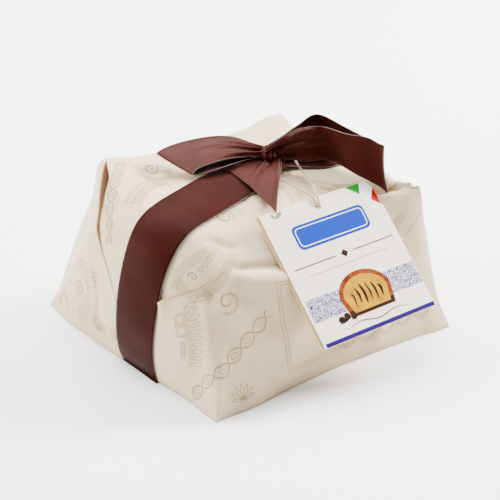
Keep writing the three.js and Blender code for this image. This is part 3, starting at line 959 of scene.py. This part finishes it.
def petal(length, width, base, angle):
    along = np.linspace(0, 1, 14)
    bulge = width / 2 * np.sin(math.pi * along) ** 0.8
    outline = np.concatenate([np.c_[length * along, bulge], np.c_[length * along, -bulge][::-1]])
    c, s = math.cos(angle), math.sin(angle)
    return outline @ np.array([[c, s], [-s, c]]) + base


def fringe(radius, start, end, count, length):
    """Petals standing side by side along an arc."""
    lines = [arc(radius - 1.4, start, end)]
    for turn in np.radians(np.linspace(start, end, count)):
        base = radius * np.array([math.cos(turn), math.sin(turn)])
        lines.append(petal(length, 3.4, base, turn))
    return lines


def fan(length, count, spread=150.0, start=90.0):
    angles = np.radians(np.linspace(start - spread / 2, start + spread / 2, count))
    lengths = length * (0.72 + 0.28 * np.cos(angles - math.radians(start)))
    return [petal(size, length * 0.2, np.zeros(2), a) for size, a in zip(lengths, angles)]


def comb(length, count, size):
    """Petals standing side by side along a line."""
    lean = math.radians(100)
    places = np.linspace(2, length - 2, count)
    stems = [petal(size, size * 0.3, np.array([x, 0.8]), lean) for x in places]
    return [np.c_[np.linspace(0, length, 40), np.zeros(40)]] + stems


def panel(width, height, inset=2.2):
    lines = []
    for gap in (0, inset):
        corners = np.array(box(gap, gap, width - gap, height - gap) + [(gap, gap)])
        lines.append(np.concatenate([np.linspace(a, b, 30) for a, b in zip(corners, corners[1:])]))
    return lines


def garland(width, sag):
    along = np.linspace(0, 1, 46)
    return [np.c_[width * along, -sag * np.sin(math.pi * along) - 1.6 * k] for k in range(3)]


def moved(lines, x, y):
    return [line + np.array([x, y]) for line in lines]


CORNER_SIDE = (-0.55, -0.7, 0.45)


def drawings_near_ribbon():
    """The front corner, and the sheet that shows above the front flap."""
    rope_path = Trail((-104, -75, 5), (-94, -90, 28), (-75, -92, 44), (-52, -92, 60))
    upper = Trail((-100, -45, 75), (-92, -45, 88), (-80, -48, 96), (-60, -50, 103))
    lower = Trail((-92, -60, 75), (-80, -66, 80), (-67, -64, 88), (-56, -58, 95))
    hang = Trail((-98, -44, 82), (-94, -56, 74), (-88, -64, 72))
    beads = [arc(1.7, 0, 360, (25 + 4.2 * k, -8.5 + k), 20) for k in range(3)]
    volute = Place((-45, -32, 110), (-58, -50, 102))
    curl = Place((-80, -74, 71), (-66, -80, 70), CORNER_SIDE)
    crest = Trail((-97, -54, 66), (-99, -61, 57), (-101.5, -67, 42), (-104.5, -70, 27))
    return [
        (rope_path, rope(rope_path.length)),
        (upper, strands(upper.length, 4, 2.1, 1.0)),
        (upper, moved(scroll(4.6, 1.4), 16, -9) + beads),
        (lower, strands(lower.length, 4, 1.9, -1.2)),
        (hang, strands(hang.length, 4, 1.8)),
        (volute, scroll(7.5, 1.8, -1) + bands(10, 100, 230)),
        (curl, moved(scroll(9.0, 1.4, -1, 30), 4, 0) + moved(fan(7, 4, 90, 200), -6, 6)),
        (crest, comb(crest.length, 10, 9.5)),
        (crest, moved(panel(17, 8.5, 1.3), 5, -10) + moved(scroll(2.6, 1.3), 13, -6)),
        (crest, moved(strands(12, 3, 1.6), 26, -6)),
        (Place((-84, -105, 9), (-60, -103, 9)), fan(12, 7) + [arc(2.6, 0, 360)]),
    ]


def drawings_on_front():
    face = Place((-44, -100, 15), (8, -99, 15))
    lower = Place((20, -100, 8), (90, -102, 8))
    lines = [(face, panel(58, 62))]
    for k in range(5):
        lines.append((lower, moved(garland(17, 5), 18 * k - 16, 14)))
        lines.append((lower, moved(scroll(3.2, 1.3), 18 * k - 16, 20)))
    lines.append((Place((74, -97, 42), (95, -95, 42)), bands(8, 10, 200) + moved(scroll(6, 1.5), 12, -6)))
    lines.append((Place((88, -84, 78), (96, -76, 78)), bands(12, 80, 200, 2.0)))
    return lines


def drawings_on_left():
    low = Place((-110, 62, 34), (-112, 10, 30))
    beside = Trail((-82, 18, 110), (-66, 27, 114), (-48, 31, 116))
    edge_rope = Trail((-62, 70, 119), (-82, 50, 114), (-94, 36, 100), (-103, 26, 82))
    return [
        (edge_rope, rope(edge_rope.length, 3.0, 11.0)),
        (low, fringe(15, -80, 100, 11, 8) + scroll(7, 1.5)),
        (low, bands(26, -30, 60, 2.0) + moved(scroll(5, 1.4, -1), 22, 22)),
        (Place((-108, 92, 10), (-110, 60, 10)), scroll(4.5, 1.4) + moved(bands(8, 10, 120), 4, 0)),
        (Place((-111, 30, 14), (-112, 0, 14)), fan(12, 7) + moved(fan(10, 5), 22, 2)),
        (beside, comb(beside.length, 13, 8)),
        (beside, moved(strands(beside.length * 0.8, 3, 1.6), 0, 12)),
        (Place((-44, 60, 112), (-60, 40, 112)), scroll(6, 1.4) + moved(bands(9, -40, 120), 3, 3)),
    ]


def drawings_behind():
    """The same motifs carried round the far faces and the top."""
    lines = []
    for x in (-60, 0, 60):
        spot = Place((x, 103, 40), (x - 20, 103, 40))
        lines.append((spot, fringe(17, 20, 160, 12, 9) + scroll(8, 1.6)))
        lines.append((spot, bands(30, 30, 150, 2.0) + moved(fan(9, 5), 0, -16)))
    spot = Place((109, 62, 42), (109, 82, 42))
    lines.append((spot, fringe(15, 20, 160, 11, 8) + scroll(7, 1.6)))
    lines.append((spot, bands(24, 30, 150, 2.0)))
    spot = Place((109, -66, 42), (109, -40, 42))
    lines.append((spot, comb(36, 10, 9) + moved(strands(36, 4, 1.9, 1.2), 0, -8)))
    lines.append((spot, moved(scroll(5, 1.4), 40, 6)))
    lines.append((Place((90, 100, 8), (-90, 102, 8)), rope(176)))
    lines.append((Place((110, -90, 8), (110, 95, 8)), rope(176)))
    across_top = Trail((46, 56, 111), (10, 58, 111), (-30, 60, 114))
    lines.append((across_top, rope(across_top.length)))
    spot = Place((52, -52, 103), (80, -40, 104))
    lines.append((spot, scroll(6, 1.5) + moved(bands(10, 20, 160, 2.0), 4, 2)))
    lines.append((Place((34, -50, 108), (60, -50, 104)), bands(14, -20, 70, 2.0)))
    return lines


print_lines("wrapping_paper_print_front", drawings_near_ribbon() + drawings_on_front())
print_lines("wrapping_paper_print_left", drawings_on_left())
print_lines("wrapping_paper_print_back", drawings_behind())

# ---- ribbon ----

SATIN_SHEET = 0.45
SELVEDGE_SHEET = 0.54
# Height of the point that the band's threads are cast towards.
THREAD_CENTRE = 50.0


def taut(line):
    """A thread pulled tight over a profile: its upper convex outline, sampled again at the same places."""
    origin = np.array([0.0, THREAD_CENTRE])
    turn = np.arctan2(line[:, 1] - origin[1], line[:, 0])
    hull = []
    for point in line:
        while len(hull) > 1:
            a, b = hull[-1] - hull[-2], point - hull[-1]
            if a[0] * b[1] - a[1] * b[0] > 0:
                break
            hull.pop()
        hull.append(point)
    hull = np.array(hull)
    out = []
    for angle, point in zip(turn, line):
        way = np.array([math.cos(angle), math.sin(angle)])
        reach = np.linalg.norm(point - origin)
        for a, b in zip(hull, hull[1:]):
            side = b - a
            cross = way[0] * side[1] - way[1] * side[0]
            if abs(cross) < 1e-9:
                continue
            offset = a - origin
            share = (offset[0] * way[1] - offset[1] * way[0]) / -cross
            distance = (offset[0] * side[1] - offset[1] * side[0]) / cross
            if -1e-6 <= share <= 1 + 1e-6 and distance > reach:
                reach = distance
        out.append(origin + way * reach)
    return np.array(out)


def ribbon_threads():
    """Rows of points from the base edge on the left end over the top to the right end."""
    lowest = math.atan2(-THREAD_CENTRE, 110)
    turns = np.linspace(math.pi - lowest, lowest, 170)
    sides = np.linspace(-RIBBON_WIDTH / 2, RIBBON_WIDTH / 2, 17)
    threads = []
    for side in sides:
        profile = []
        for turn in turns:
            way = unit(np.array([math.cos(turn), RIBBON_SLANT * math.cos(turn), math.sin(turn)]))
            start = np.array([0, ribbon_middle(0) + side, THREAD_CENTRE])
            hit = ribbon_ground.ray_cast(Vector(start + way * 200), Vector(-way))[0]
            spot = np.array(hit) + way * 1.6
            profile.append((spot[0], spot[2]))
        profile = taut(np.array(profile)[::-1])[::-1]
        middle = ribbon_middle(profile[:, 0]) + side
        threads.append(np.c_[profile[:, 0], middle, profile[:, 1]])
    return np.stack(threads, axis=1)


def soften(rows, rounds):
    for _ in range(rounds):
        inner = (rows[:-2] + 2 * rows[1:-1] + rows[2:]) / 4
        rows = np.concatenate([rows[:1], inner, rows[-1:]])
    return rows


def ribbon_sheet(name, rows, look, *nodes):
    """A length of satin with a stitched selvedge on each side."""
    finish_piece(sheet_mesh(name, rows, SATIN_SHEET), look, "satin_ribbon", *nodes)
    for side, column, inner in (("a", 0, 1), ("b", -1, -2)):
        edge, step = rows[:, column], unit(rows[:, inner] - rows[:, column])
        strip = np.stack([edge - step * 0.05, edge + step * 0.11, edge + step * 0.27], axis=1)
        stitched = sheet_mesh(f"{name}_selvedge_{side}", strip, SELVEDGE_SHEET)
        finish_piece(stitched, SELVEDGE, "satin_ribbon")


def gathered(rows):
    """Draws the band in where the knot holds it, with small folds along it."""
    across = np.linspace(-1, 1, rows.shape[1])
    middle = rows[:, rows.shape[1] // 2]
    held = smooth_step(-2, 22, middle[:, 0]) * (1 - smooth_step(34, 78, middle[:, 0])) * (middle[:, 2] > 60)
    drawn = rows.copy()
    for row, old, share in zip(drawn, rows, held):
        for axis in range(3):
            row[:, axis] = np.interp(across * (1 - 0.5 * share), across, old[:, axis])
        row[:, 2] += share * (0.6 + 0.6 * np.cos(across * math.pi * 4))
    return drawn


def make_band():
    rows = soften(ribbon_threads(), 8)
    rows = soften(rows.swapaxes(0, 1), 6).swapaxes(0, 1)
    rows = gathered(rows)
    rows[0, :, 2] = rows[-1, :, 2] = RIBBON_THICKNESS / 2
    half = np.linspace(1, -1, rows.shape[1])
    under = []
    for x in np.linspace(110.6, -110.6, 24):
        middle = ribbon_middle(x)
        under.append([(x, middle - h * RIBBON_WIDTH / 2, RIBBON_THICKNESS / 2) for h in half])
    # The band uses the darker copy of the satin, its colour holding painted shade.
    ribbon_sheet("ribbon_band_over", rows, SATIN_SHADED, "ribbon_band")
    ribbon_sheet("ribbon_band_under", np.array(under), SATIN_SHADED)


make_band()

# ---- bow ----

# Sections of each piece: its middle and half its width as a vector.
LEFT_LOOP = [
    [[15, 3, 128], [2, 2.5, 1]],
    [[7, 9, 127], [4, 5, 1]],
    [[-6, 18, 125.4], [7, 11, 0.5]],
    [[-24, 30, 123.4], [3, 19, 0.3]],
    [[-35, 36, 121.9], [-1, 20.9, 0.6]],
    [[-38, 37, 123.5], [-1, 20.9, 1.5]],
    [[-30, 37, 126.5], [4, 20, 2]],
    [[-10, 29, 130.5], [11, 15, 2.5]],
    [[1, 20, 132.5], [10, 10, 2.5]],
    [[10, 8, 132.6], [5, 5, 1.8]],
    [[17, 2, 131.5], [2.5, 3, 1.5]],
]
RIGHT_LOOP = [
    [[14, -2, 130.5], [0, -2, 4.0]],
    [[27, -7, 133.2], [0, -2, 9.2]],
    [[42, -13, 134.2], [0, 3, 12.2]],
    [[56, -20, 134], [0, 5, 11.8]],
    [[62.5, -44, 131.5], [-1, 5, 14.8]],
    [[72.4, -56, 127], [-1, 6, 17.6]],
    [[78, -61, 122], [-1, 4, 18.6]],
    [[82, -57, 121.5], [-1, 0, 16.5]],
    [[81, -42, 124.5], [-1, 0, 13.5]],
    [[79, -18, 128], [-1, 1, 12.5]],
    [[71, 3, 132], [-1, 2, 13.5]],
    [[54, 6, 131], [0, 3, 8.5]],
    [[34, 2, 131.4], [0, 2, 6.2]],
    [[18, 1, 131], [0, 1.5, 3.5]],
]
FRONT_TAIL = [
    [[19.5, -2, 126], [7.5, -4, 0]],
    [[9.5, -6, 123.6], [5.5, -14, -1.1]],
    [[-3, -13.2, 120.4], [1, -24.7, -2.4]],
    [[-14.5, -21, 117.3], [-3.5, -35, -3.75]],
]
BACK_TAIL = [
    [[34, 6, 124.2], [-2, 6, 0.5]],
    [[46, 6, 120.5], [-2, 10, 0]],
    [[66, 8, 115.6], [-2, 14, 0]],
    [[88, 10, 109], [6, 19, -2]],
]
KNOT_CENTRE = np.array([20, 1, 128.8])


def bow_rows(sections, steps, columns, gather, crown):
    """Rows across a loop or tail, gathered into small folds near the knot and crowned across its width."""
    sections = np.array(sections, float)
    places = np.linspace(0, 1, steps)
    middle = spline(sections[:, 0], places)
    half = spline(sections[:, 1], places)
    across = np.linspace(-1, 1, columns)
    rows = middle[:, None] + half[:, None] * across[None, :, None]
    normals = grid_normals(rows)
    near = np.exp(-((np.linalg.norm(middle - KNOT_CENTRE, axis=1) / 33) ** 2))
    folds = gather * np.cos(across * math.pi * 3.0) + 0.5 * gather * np.sin(across * math.pi * 5 + 1)
    width = np.linalg.norm(half, axis=1)
    height = near[:, None] * folds[None, :] + (crown * width)[:, None] * (1 - across**2)[None, :]
    return rows + normals * height[..., None]


def make_bow():
    pieces = (
        ("bow_loop_left", LEFT_LOOP, 150, 1.2, 0.03),
        ("bow_loop_right", RIGHT_LOOP, 170, 1.3, -0.04),
        ("bow_tail_front", FRONT_TAIL, 90, 0.8, 0.1),
        ("bow_tail_back", BACK_TAIL, 90, 0.5, 0.03),
    )
    for node, sections, steps, gather, crown in pieces:
        ribbon_sheet(node + "_satin", bow_rows(sections, steps, 33, gather, crown), SATIN, node)


def make_bow_knot():
    """A turn of ribbon pulled tight round the middle of the bow, creased along its length."""
    around = full_turn(96)
    across = np.linspace(-1, 1, 41)
    angle = -0.5
    axis = np.array([math.cos(angle), math.sin(angle), 0])
    side = np.array([-math.sin(angle), math.cos(angle), 0])
    crease = 1 + 0.05 * np.cos(across * math.pi * 4)[:, None] + 0.02 * np.sin(3 * around + 1)[None, :]
    body = np.sqrt(np.clip(1 - (0.92 * across) ** 2, 0, 1))[:, None] * crease
    rings = (
        KNOT_CENTRE
        + (6.8 * across)[:, None, None] * axis
        + (9.0 * body * np.cos(around))[..., None] * side
        + (5.4 * body * np.sin(around))[..., None] * np.array([0, 0, 1.0])
    )
    points, faces = ring_solid(rings[:, ::-1], KNOT_CENTRE - axis * 6.9, KNOT_CENTRE + axis * 6.9)
    knot = build("bow_knot_satin", points, faces)
    turns = np.concatenate([np.tile(around, len(across)), [0, 0]]) * 11
    widths = np.concatenate([np.repeat(across, len(around)), [0, 0]]) * 18
    set_uv(knot, np.c_[turns, widths] * MM)
    return finish_piece(knot, SATIN, "satin_ribbon", "bow_knot")


make_bow()
make_bow_knot()

# ---- tag ----

TAG_FRONT_PLANE = 0.0
TAG_BACK_PLANE = -(TAG_THICKNESS + TAG_LEAF_GAP)


def flat_piece(name, outlines, thickness, top, look, *nodes):
    """A card or print from closed outlines in tag millimetres; its upper side lies at top."""
    data = bpy.data.curves.new(name, "CURVE")
    data.dimensions = "2D"
    data.fill_mode = "BOTH"
    data.extrude = thickness / 2 * MM
    for outline in outlines:
        run = data.splines.new("POLY")
        run.points.add(len(outline) - 1)
        for point, (x, y) in zip(run.points, outline):
            point.co = (x * MM, y * MM, 0, 1)
        run.use_cyclic_u = True
    shape = link(bpy.data.objects.new(name + "_outline", data))
    mesh = bpy.data.meshes.new_from_object(shape.evaluated_get(bpy.context.evaluated_depsgraph_get()))
    bpy.data.objects.remove(shape)
    places = np.empty(len(mesh.vertices) * 3)
    mesh.vertices.foreach_get("co", places)
    places = places.reshape(-1, 3) / MM
    turned = np.array([on_tag(x, y, top - thickness / 2 + z) for x, y, z in places]) * MM
    mesh.vertices.foreach_set("co", turned.ravel())
    mesh.materials.clear()
    mesh.name = name
    mesh.update()
    return finish_piece(link(bpy.data.objects.new(name, mesh)), look, "tag_card", *nodes)


def circle(x, y, radius):
    return [tuple(p) for p in arc(radius, 0, 360, (x, y), 41)[:-1]]


def rounded(points, radius=1.2, steps=4):
    """A polygon with its corners cut to short arcs."""
    points = np.asarray(points, float)
    out = []
    for before, corner, after in zip(np.roll(points, 1, 0), points, np.roll(points, -1, 0)):
        a = corner + unit(before - corner) * radius
        b = corner + unit(after - corner) * radius
        for t in np.linspace(0, 1, steps):
            out.append(tuple((1 - t) ** 2 * a + 2 * t * (1 - t) * corner + t**2 * b))
    return out


def streak(line, width):
    """A stroke that narrows at both ends."""
    line = spline(line, np.linspace(0, 1, 16))
    ahead = unit(np.gradient(line, axis=0))
    half = width / 2 * np.sin(np.linspace(0.25, math.pi - 0.25, 16))
    side = np.c_[-ahead[:, 1], ahead[:, 0]] * half[:, None]
    return [tuple(p) for p in np.concatenate([line + side, (line - side)[::-1]])]


def make_leaves():
    hole = circle(*TAG_HOLE, TAG_HOLE_RADIUS)
    cut_low, cut_left = 0.79 * TAG_HEIGHT, 0.76 * TAG_WIDTH
    front = [(0, 0), (TAG_WIDTH, 0), (TAG_WIDTH, cut_low), (cut_left, TAG_HEIGHT), (0, TAG_HEIGHT)]
    left, right = -1.6, TAG_WIDTH - 0.4
    back = [(left, 0), (right, 0), (right, TAG_HEIGHT - 5), (right - 4.6, TAG_HEIGHT), (left, TAG_HEIGHT)]
    for side, outline, plane, look in (
        ("front", front, TAG_FRONT_PLANE, CARD),
        ("back", back, TAG_BACK_PLANE, CARD_EDGE),
    ):
        outlines = [rounded(outline, 0.5), hole]
        flat_piece(f"tag_{side}_card", outlines, TAG_THICKNESS, plane, look, f"tag_{side}_leaf")


def lace_look():
    """A band of small printed flowers and dots on card."""
    look = new_look("tag_print_lace", Roughness=0.5, Specular_IOR_Level=0.03)
    place = position(look)
    cells = add(look, "TexVoronoi", {"Vector": place, "Scale": 1150.0, "Randomness": 0.9}, feature="F1")
    curls = add(look, "TexVoronoi", {"Vector": place, "Scale": 480.0, "Randomness": 0.9},
                feature="DISTANCE_TO_EDGE")
    dots = remap(look, cells, 0.36, 0.6, 1.0, 0.0)
    rims = remap(look, curls, 0.03, 0.1, 1.0, 0.0)
    share = maths(look, "MAXIMUM", dots, rims)
    feed(look, "Base Color", mix(look, share, colour(234, 226, 222), colour(34, 12, 104)))
    bump(look, (share, 0.00002))
    return look


def crumb_look():
    look = new_look("tag_print_crumb", Roughness=0.5, Specular_IOR_Level=0.03)
    place = position(look)
    holes = add(look, "TexVoronoi", {"Vector": place, "Scale": 480.0}, feature="F1")
    cloud = remap(look, noise(look, place, 150.0), 0.3, 0.7)
    tone = mix(look, cloud, colour(186, 142, 0), colour(164, 108, 0))
    feed(look, "Base Color", mix(look, remap(look, holes, 0.1, 0.4, 0.45, 0.0), tone, colour(140, 84, 6)))
    bump(look, (holes, 0.00002))
    return look


def make_tag_print():
    """A slice of the loaf between lace bands, a blank label, rules, a leaf, a stripe and three colours."""
    def on_card(name, outlines, look, level=1, plane=TAG_FRONT_PLANE):
        top = plane + 0.07 * level
        return flat_piece("tag_print_" + name, outlines, 0.06, top, look)

    purple = ink_look("tag_print_purple", colour(36, 14, 92), colour(30, 10, 82))
    cocoa = ink_look("tag_print_cocoa", colour(44, 20, 12), colour(22, 9, 6), 500.0)
    crust = ink_look("tag_print_crust", colour(140, 60, 16), colour(66, 24, 8), 260.0)
    blue = ink_look("tag_print_blue", colour(5, 50, 158), colour(3, 44, 148))
    grey = ink_look("tag_print_warm_grey", colour(150, 136, 112), colour(132, 118, 94))
    on_card("stripe", [box(1.8, 0.1, TAG_WIDTH - 0.1, 3.2)], purple)
    on_card("lace", [box(2, 19, 33, 36), box(73, 19, TAG_WIDTH - 0.5, 36)], lace_look())
    middle, shoulder, foot = 53, 27, 13

    def slice_shape(half_width, rise, inset):
        """A domed top over sides that lean in to a flat foot."""
        top = arc(half_width, 0, 180, (middle, shoulder), 40, rise / half_width)
        sides = [(middle - half_width + 3, foot + inset), (middle + half_width - 3, foot + inset)]
        return [*map(tuple, top), *sides]

    on_card("crust", [slice_shape(23, 17, 0)], crust, 2)
    base = [(33.5, foot + 0.5), (72.5, foot + 0.5), (73.5, foot + 5), (32.5, foot + 5)]
    on_card("baked_base", [base], cocoa, 3)
    on_card("crumb", [slice_shape(19.5, 13.5, 2.5)], crumb_look(), 4)
    streaks = []
    for k in range(6):
        x = middle - 12.5 + 5 * k
        height = 35 - 0.9 * (k - 2.5) ** 2
        line = [(x - 0.6, height), (x + 0.9, 27), (x, 19 + 1.5 * (k % 2))]
        streaks.append(streak(line, 1.5 + 0.5 * (k % 3)))
    on_card("filling", streaks, cocoa, 5)
    pieces = [arc(2.9, 25 * k, 25 * k + 300, (23.5 + 5.4 * k, 14.5 + 1.2 * (k % 2)), 6) for k in range(3)]
    on_card("chocolate", [[*map(tuple, piece)] for piece in pieces], cocoa, 6)
    on_card("label", [rounded(box(19, 70, 85, 88.5), 5.0, 8)], blue)
    outer, inner = box(21, 72, 83, 86.5), box(21.7, 72.7, 82.3, 85.8)
    on_card("label_line", [rounded(outer, 4.0, 8), rounded(inner, 3.5, 8)], CARD, 2)
    diamond = [(52, 55.4), (55.2, 58.6), (52, 61.8), (48.8, 58.6)]
    on_card("rules", [box(6, 58.2, 44, 59), box(60, 58.2, 98, 59), diamond], cocoa)
    on_card("fine_rule", [box(16, 51, 88, 51.5)], grey)
    on_card("leaf", [petal_outline(12, 98.2, 8, 3.4, 0.5), petal_outline(12, 98.2, 5, 2.4, 2.2)], grey)
    on_card("wave", [streak([(24, 6.8), (38, 9.2), (54, 6.6), (70, 9.2), (84, 6.8)], 0.9)], purple)
    make_flag(on_card)


def petal_outline(x, y, length, width, angle):
    return [tuple(p) for p in petal(length, width, np.array([x, y]), angle)[:-1]]


def make_flag(on_card):
    """Three colours printed across the back leaf's corner, with a waved outer edge."""
    green = ink_look("tag_print_green", colour(20, 128, 34), colour(14, 114, 26))
    white = ink_look("tag_print_white", colour(253, 253, 253), colour(246, 246, 246))
    red = ink_look("tag_print_red", colour(178, 2, 8), colour(160, 1, 6))
    on_card("green", [[(77.2, 102.4), (88.2, 93.6), (92.6, 103.4), (80, 103.4)]], green, 1, TAG_BACK_PLANE)
    on_card("white", [[(88.2, 93.6), (95.0, 88.0), (102.3, 97.2), (97.6, 103.2), (92.6, 103.4)]], white, 1,
            TAG_BACK_PLANE)
    on_card("red", [[(95.0, 88.0), (102.4, 81.8), (102.5, 90), (102.3, 97.2)]], red, 1, TAG_BACK_PLANE)


make_leaves()
make_tag_print()

# ---- inside the paper: loaf, baking case, food bag and its tie ----

LOAF_CENTRE = np.array([0, 5.0, 0])
LOAF_RADIUS = 83
CROWN_RADIUS = 84.4
CROWN_START = 66.0
LOAF_TOP = 114.3


def revolved(profile, sides, low, high, shape):
    """Points and faces of a closed surface about the loaf's axis, from a profile of radius and height.

    Low and high are the heights of its two ends; shape changes each point's radius and height.
    """
    turn = full_turn(sides)
    radius, height = (np.repeat(part[:, None], sides, axis=1) for part in np.array(profile, float).T)
    radius, height = shape(radius, height, turn[None, :])
    rings = np.stack([radius * np.cos(turn), radius * np.sin(turn), height], axis=-1) + LOAF_CENTRE
    return ring_solid(rings, LOAF_CENTRE + (0, 0, low), LOAF_CENTRE + (0, 0, high))


def dome(offset, steps):
    angles = np.linspace(0, math.pi / 2 * 0.985, steps)
    rise = LOAF_TOP - CROWN_START + offset
    return [((CROWN_RADIUS + offset) * math.cos(a), CROWN_START + rise * math.sin(a)) for a in angles]


def make_loaf():
    wall = [(60, 4.6), (80, 4.7), (82.6, 7)] + [(LOAF_RADIUS, z) for z in np.linspace(10, 60, 14)]
    points, faces = revolved(wall + dome(-0.6, 40), 160, 4.6, LOAF_TOP - 1.2, baked)
    loaf = build("panettone_loaf_crust", points, faces)
    return finish_piece(loaf, crust_look(), "crust", "panettone_loaf")


def baked(radius, height, turn):
    """Bumps in the crust and the cross that is cut in the crown."""
    high = smooth_step(62, 80, height)
    coarse = 0.9 * np.sin(5 * turn + height / 9) * np.sin(height / 7 + 3 * turn)
    bumps = coarse + 0.5 * np.sin(13 * turn + height / 3)
    cross = np.minimum(np.abs(radius * np.sin(turn)), np.abs(radius * np.cos(turn)))
    cut = 3.0 * np.exp(-((cross / 3.5) ** 2)) * smooth_step(95, 108, height)
    return radius + (bumps - 1.4) * high, height - (cut + 0.5) * high


def make_case():
    """The baking paper's pleated wall and its base, a little lower than the loaf's straight side."""
    heights = np.linspace(3.7, 58, 24)
    outer = [(83.9, z) for z in heights]
    inner = [(83.45, z) for z in heights[::-1]]

    def pleats(radius, height, turn):
        return radius + 0.14 * np.sin(96 * turn), height

    points, faces = revolved(outer + inner + [(40, 3.9)], 384, 3.7, 4.2, pleats)
    case = build("baking_case_pleated", points, faces)
    return finish_piece(case, case_look(), "baking_paper", "baking_case")


NECK_START = np.array([56, 61.0, 74])
NECK_WAY = unit(np.array([1, 1, 0.25]))
NECK_SIDE = unit(np.cross(NECK_WAY, [0, 0, 1.0]))
NECK_RISE = np.cross(NECK_SIDE, NECK_WAY)


def round_neck(turn):
    return np.cos(turn)[:, None] * NECK_SIDE + np.sin(turn)[:, None] * NECK_RISE


def neck_rings(profile, sides, folds):
    turn = full_turn(sides)
    rings = []
    for radius, along in profile:
        reach = radius * (1 + folds * np.cos(11 * turn))
        rings.append(NECK_START + along * NECK_WAY + reach[:, None] * round_neck(turn))
    return np.array(rings)


def make_bag():
    wall = [(60, 3.0), (84.6, 3.2)] + [(84.9, z) for z in np.linspace(8, 60, 16)]

    def creased(radius, height, turn):
        return radius + 0.12 * np.sin(23 * turn + height / 6), height

    points, faces = revolved(wall + dome(0.55, 34), 200, 3.0, LOAF_TOP + 0.55, creased)
    profile = [(20, 3), (15.5, 9), (11, 14), (6.5, 18.5), (4.8, 21), (4.6, 24), (6, 26.5), (9.3, 29.5)]
    neck = neck_rings(profile, 88, 0.1)
    base = len(points)
    points = np.concatenate([points, neck.reshape(-1, 3)])
    faces += [tuple(base + v for v in f) for f in grid_faces(len(neck), neck.shape[1], closed=True)]
    bag = build("food_bag_film", points, faces)
    return finish_piece(bag, film_look(), "clear_film", "food_bag")


def make_tie():
    line = NECK_START + NECK_WAY * 22.5 + 6.4 * round_neck(full_turn(90))
    tie = tube("bag_tie_wire", line, 0.9)
    return finish_piece(tie, tie_look(), "tie_band", "bag_tie")


make_loaf()
make_case()
make_bag()
make_tie()

# ---- floor and light ----


def make_floor():
    mesh = bpy.data.meshes.new("floor")
    half = 6.0
    corners = [(x, y, 0) for x, y in box(-half, -half, half, half)]
    mesh.from_pydata(corners, [], [(0, 1, 2, 3)])
    floor = link(bpy.data.objects.new("floor", mesh))
    tone = (0.97, 0.97, 0.97, 1)
    look = new_look("floor_white", Roughness=0.9, Specular_IOR_Level=0.1, Base_Color=tone)
    floor.data.materials.append(look)


def area_light(name, place, target, size, power, tint=(1, 1, 1)):
    data = bpy.data.lights.new(name, "AREA")
    data.shape = "DISK"
    data.size = size
    data.energy = power
    data.color = tint
    lamp = link(bpy.data.objects.new(name, data))
    lamp.location = place
    lamp.rotation_mode = "QUATERNION"
    lamp.rotation_quaternion = (Vector(target) - Vector(place)).to_track_quat("-Z", "Y")


def make_light():
    world = bpy.data.worlds.new("studio")
    bpy.context.scene.world = world
    world.use_nodes = True
    sky = world.node_tree.nodes["Background"]
    sky.inputs["Color"].default_value = (1, 1, 1, 1)
    sky.inputs["Strength"].default_value = 0.32
    centre = (0, 0, 0.06)
    area_light("top", (0.3, 0.8, 1.9), centre, 2.4, 185)
    area_light("key", (1.55, -0.3, 1.05), centre, 0.6, 135, (1.0, 0.985, 0.96))
    area_light("left", (-1.25, 1.2, 0.9), centre, 0.9, 62, (1.0, 0.985, 0.96))


make_floor()
make_light()
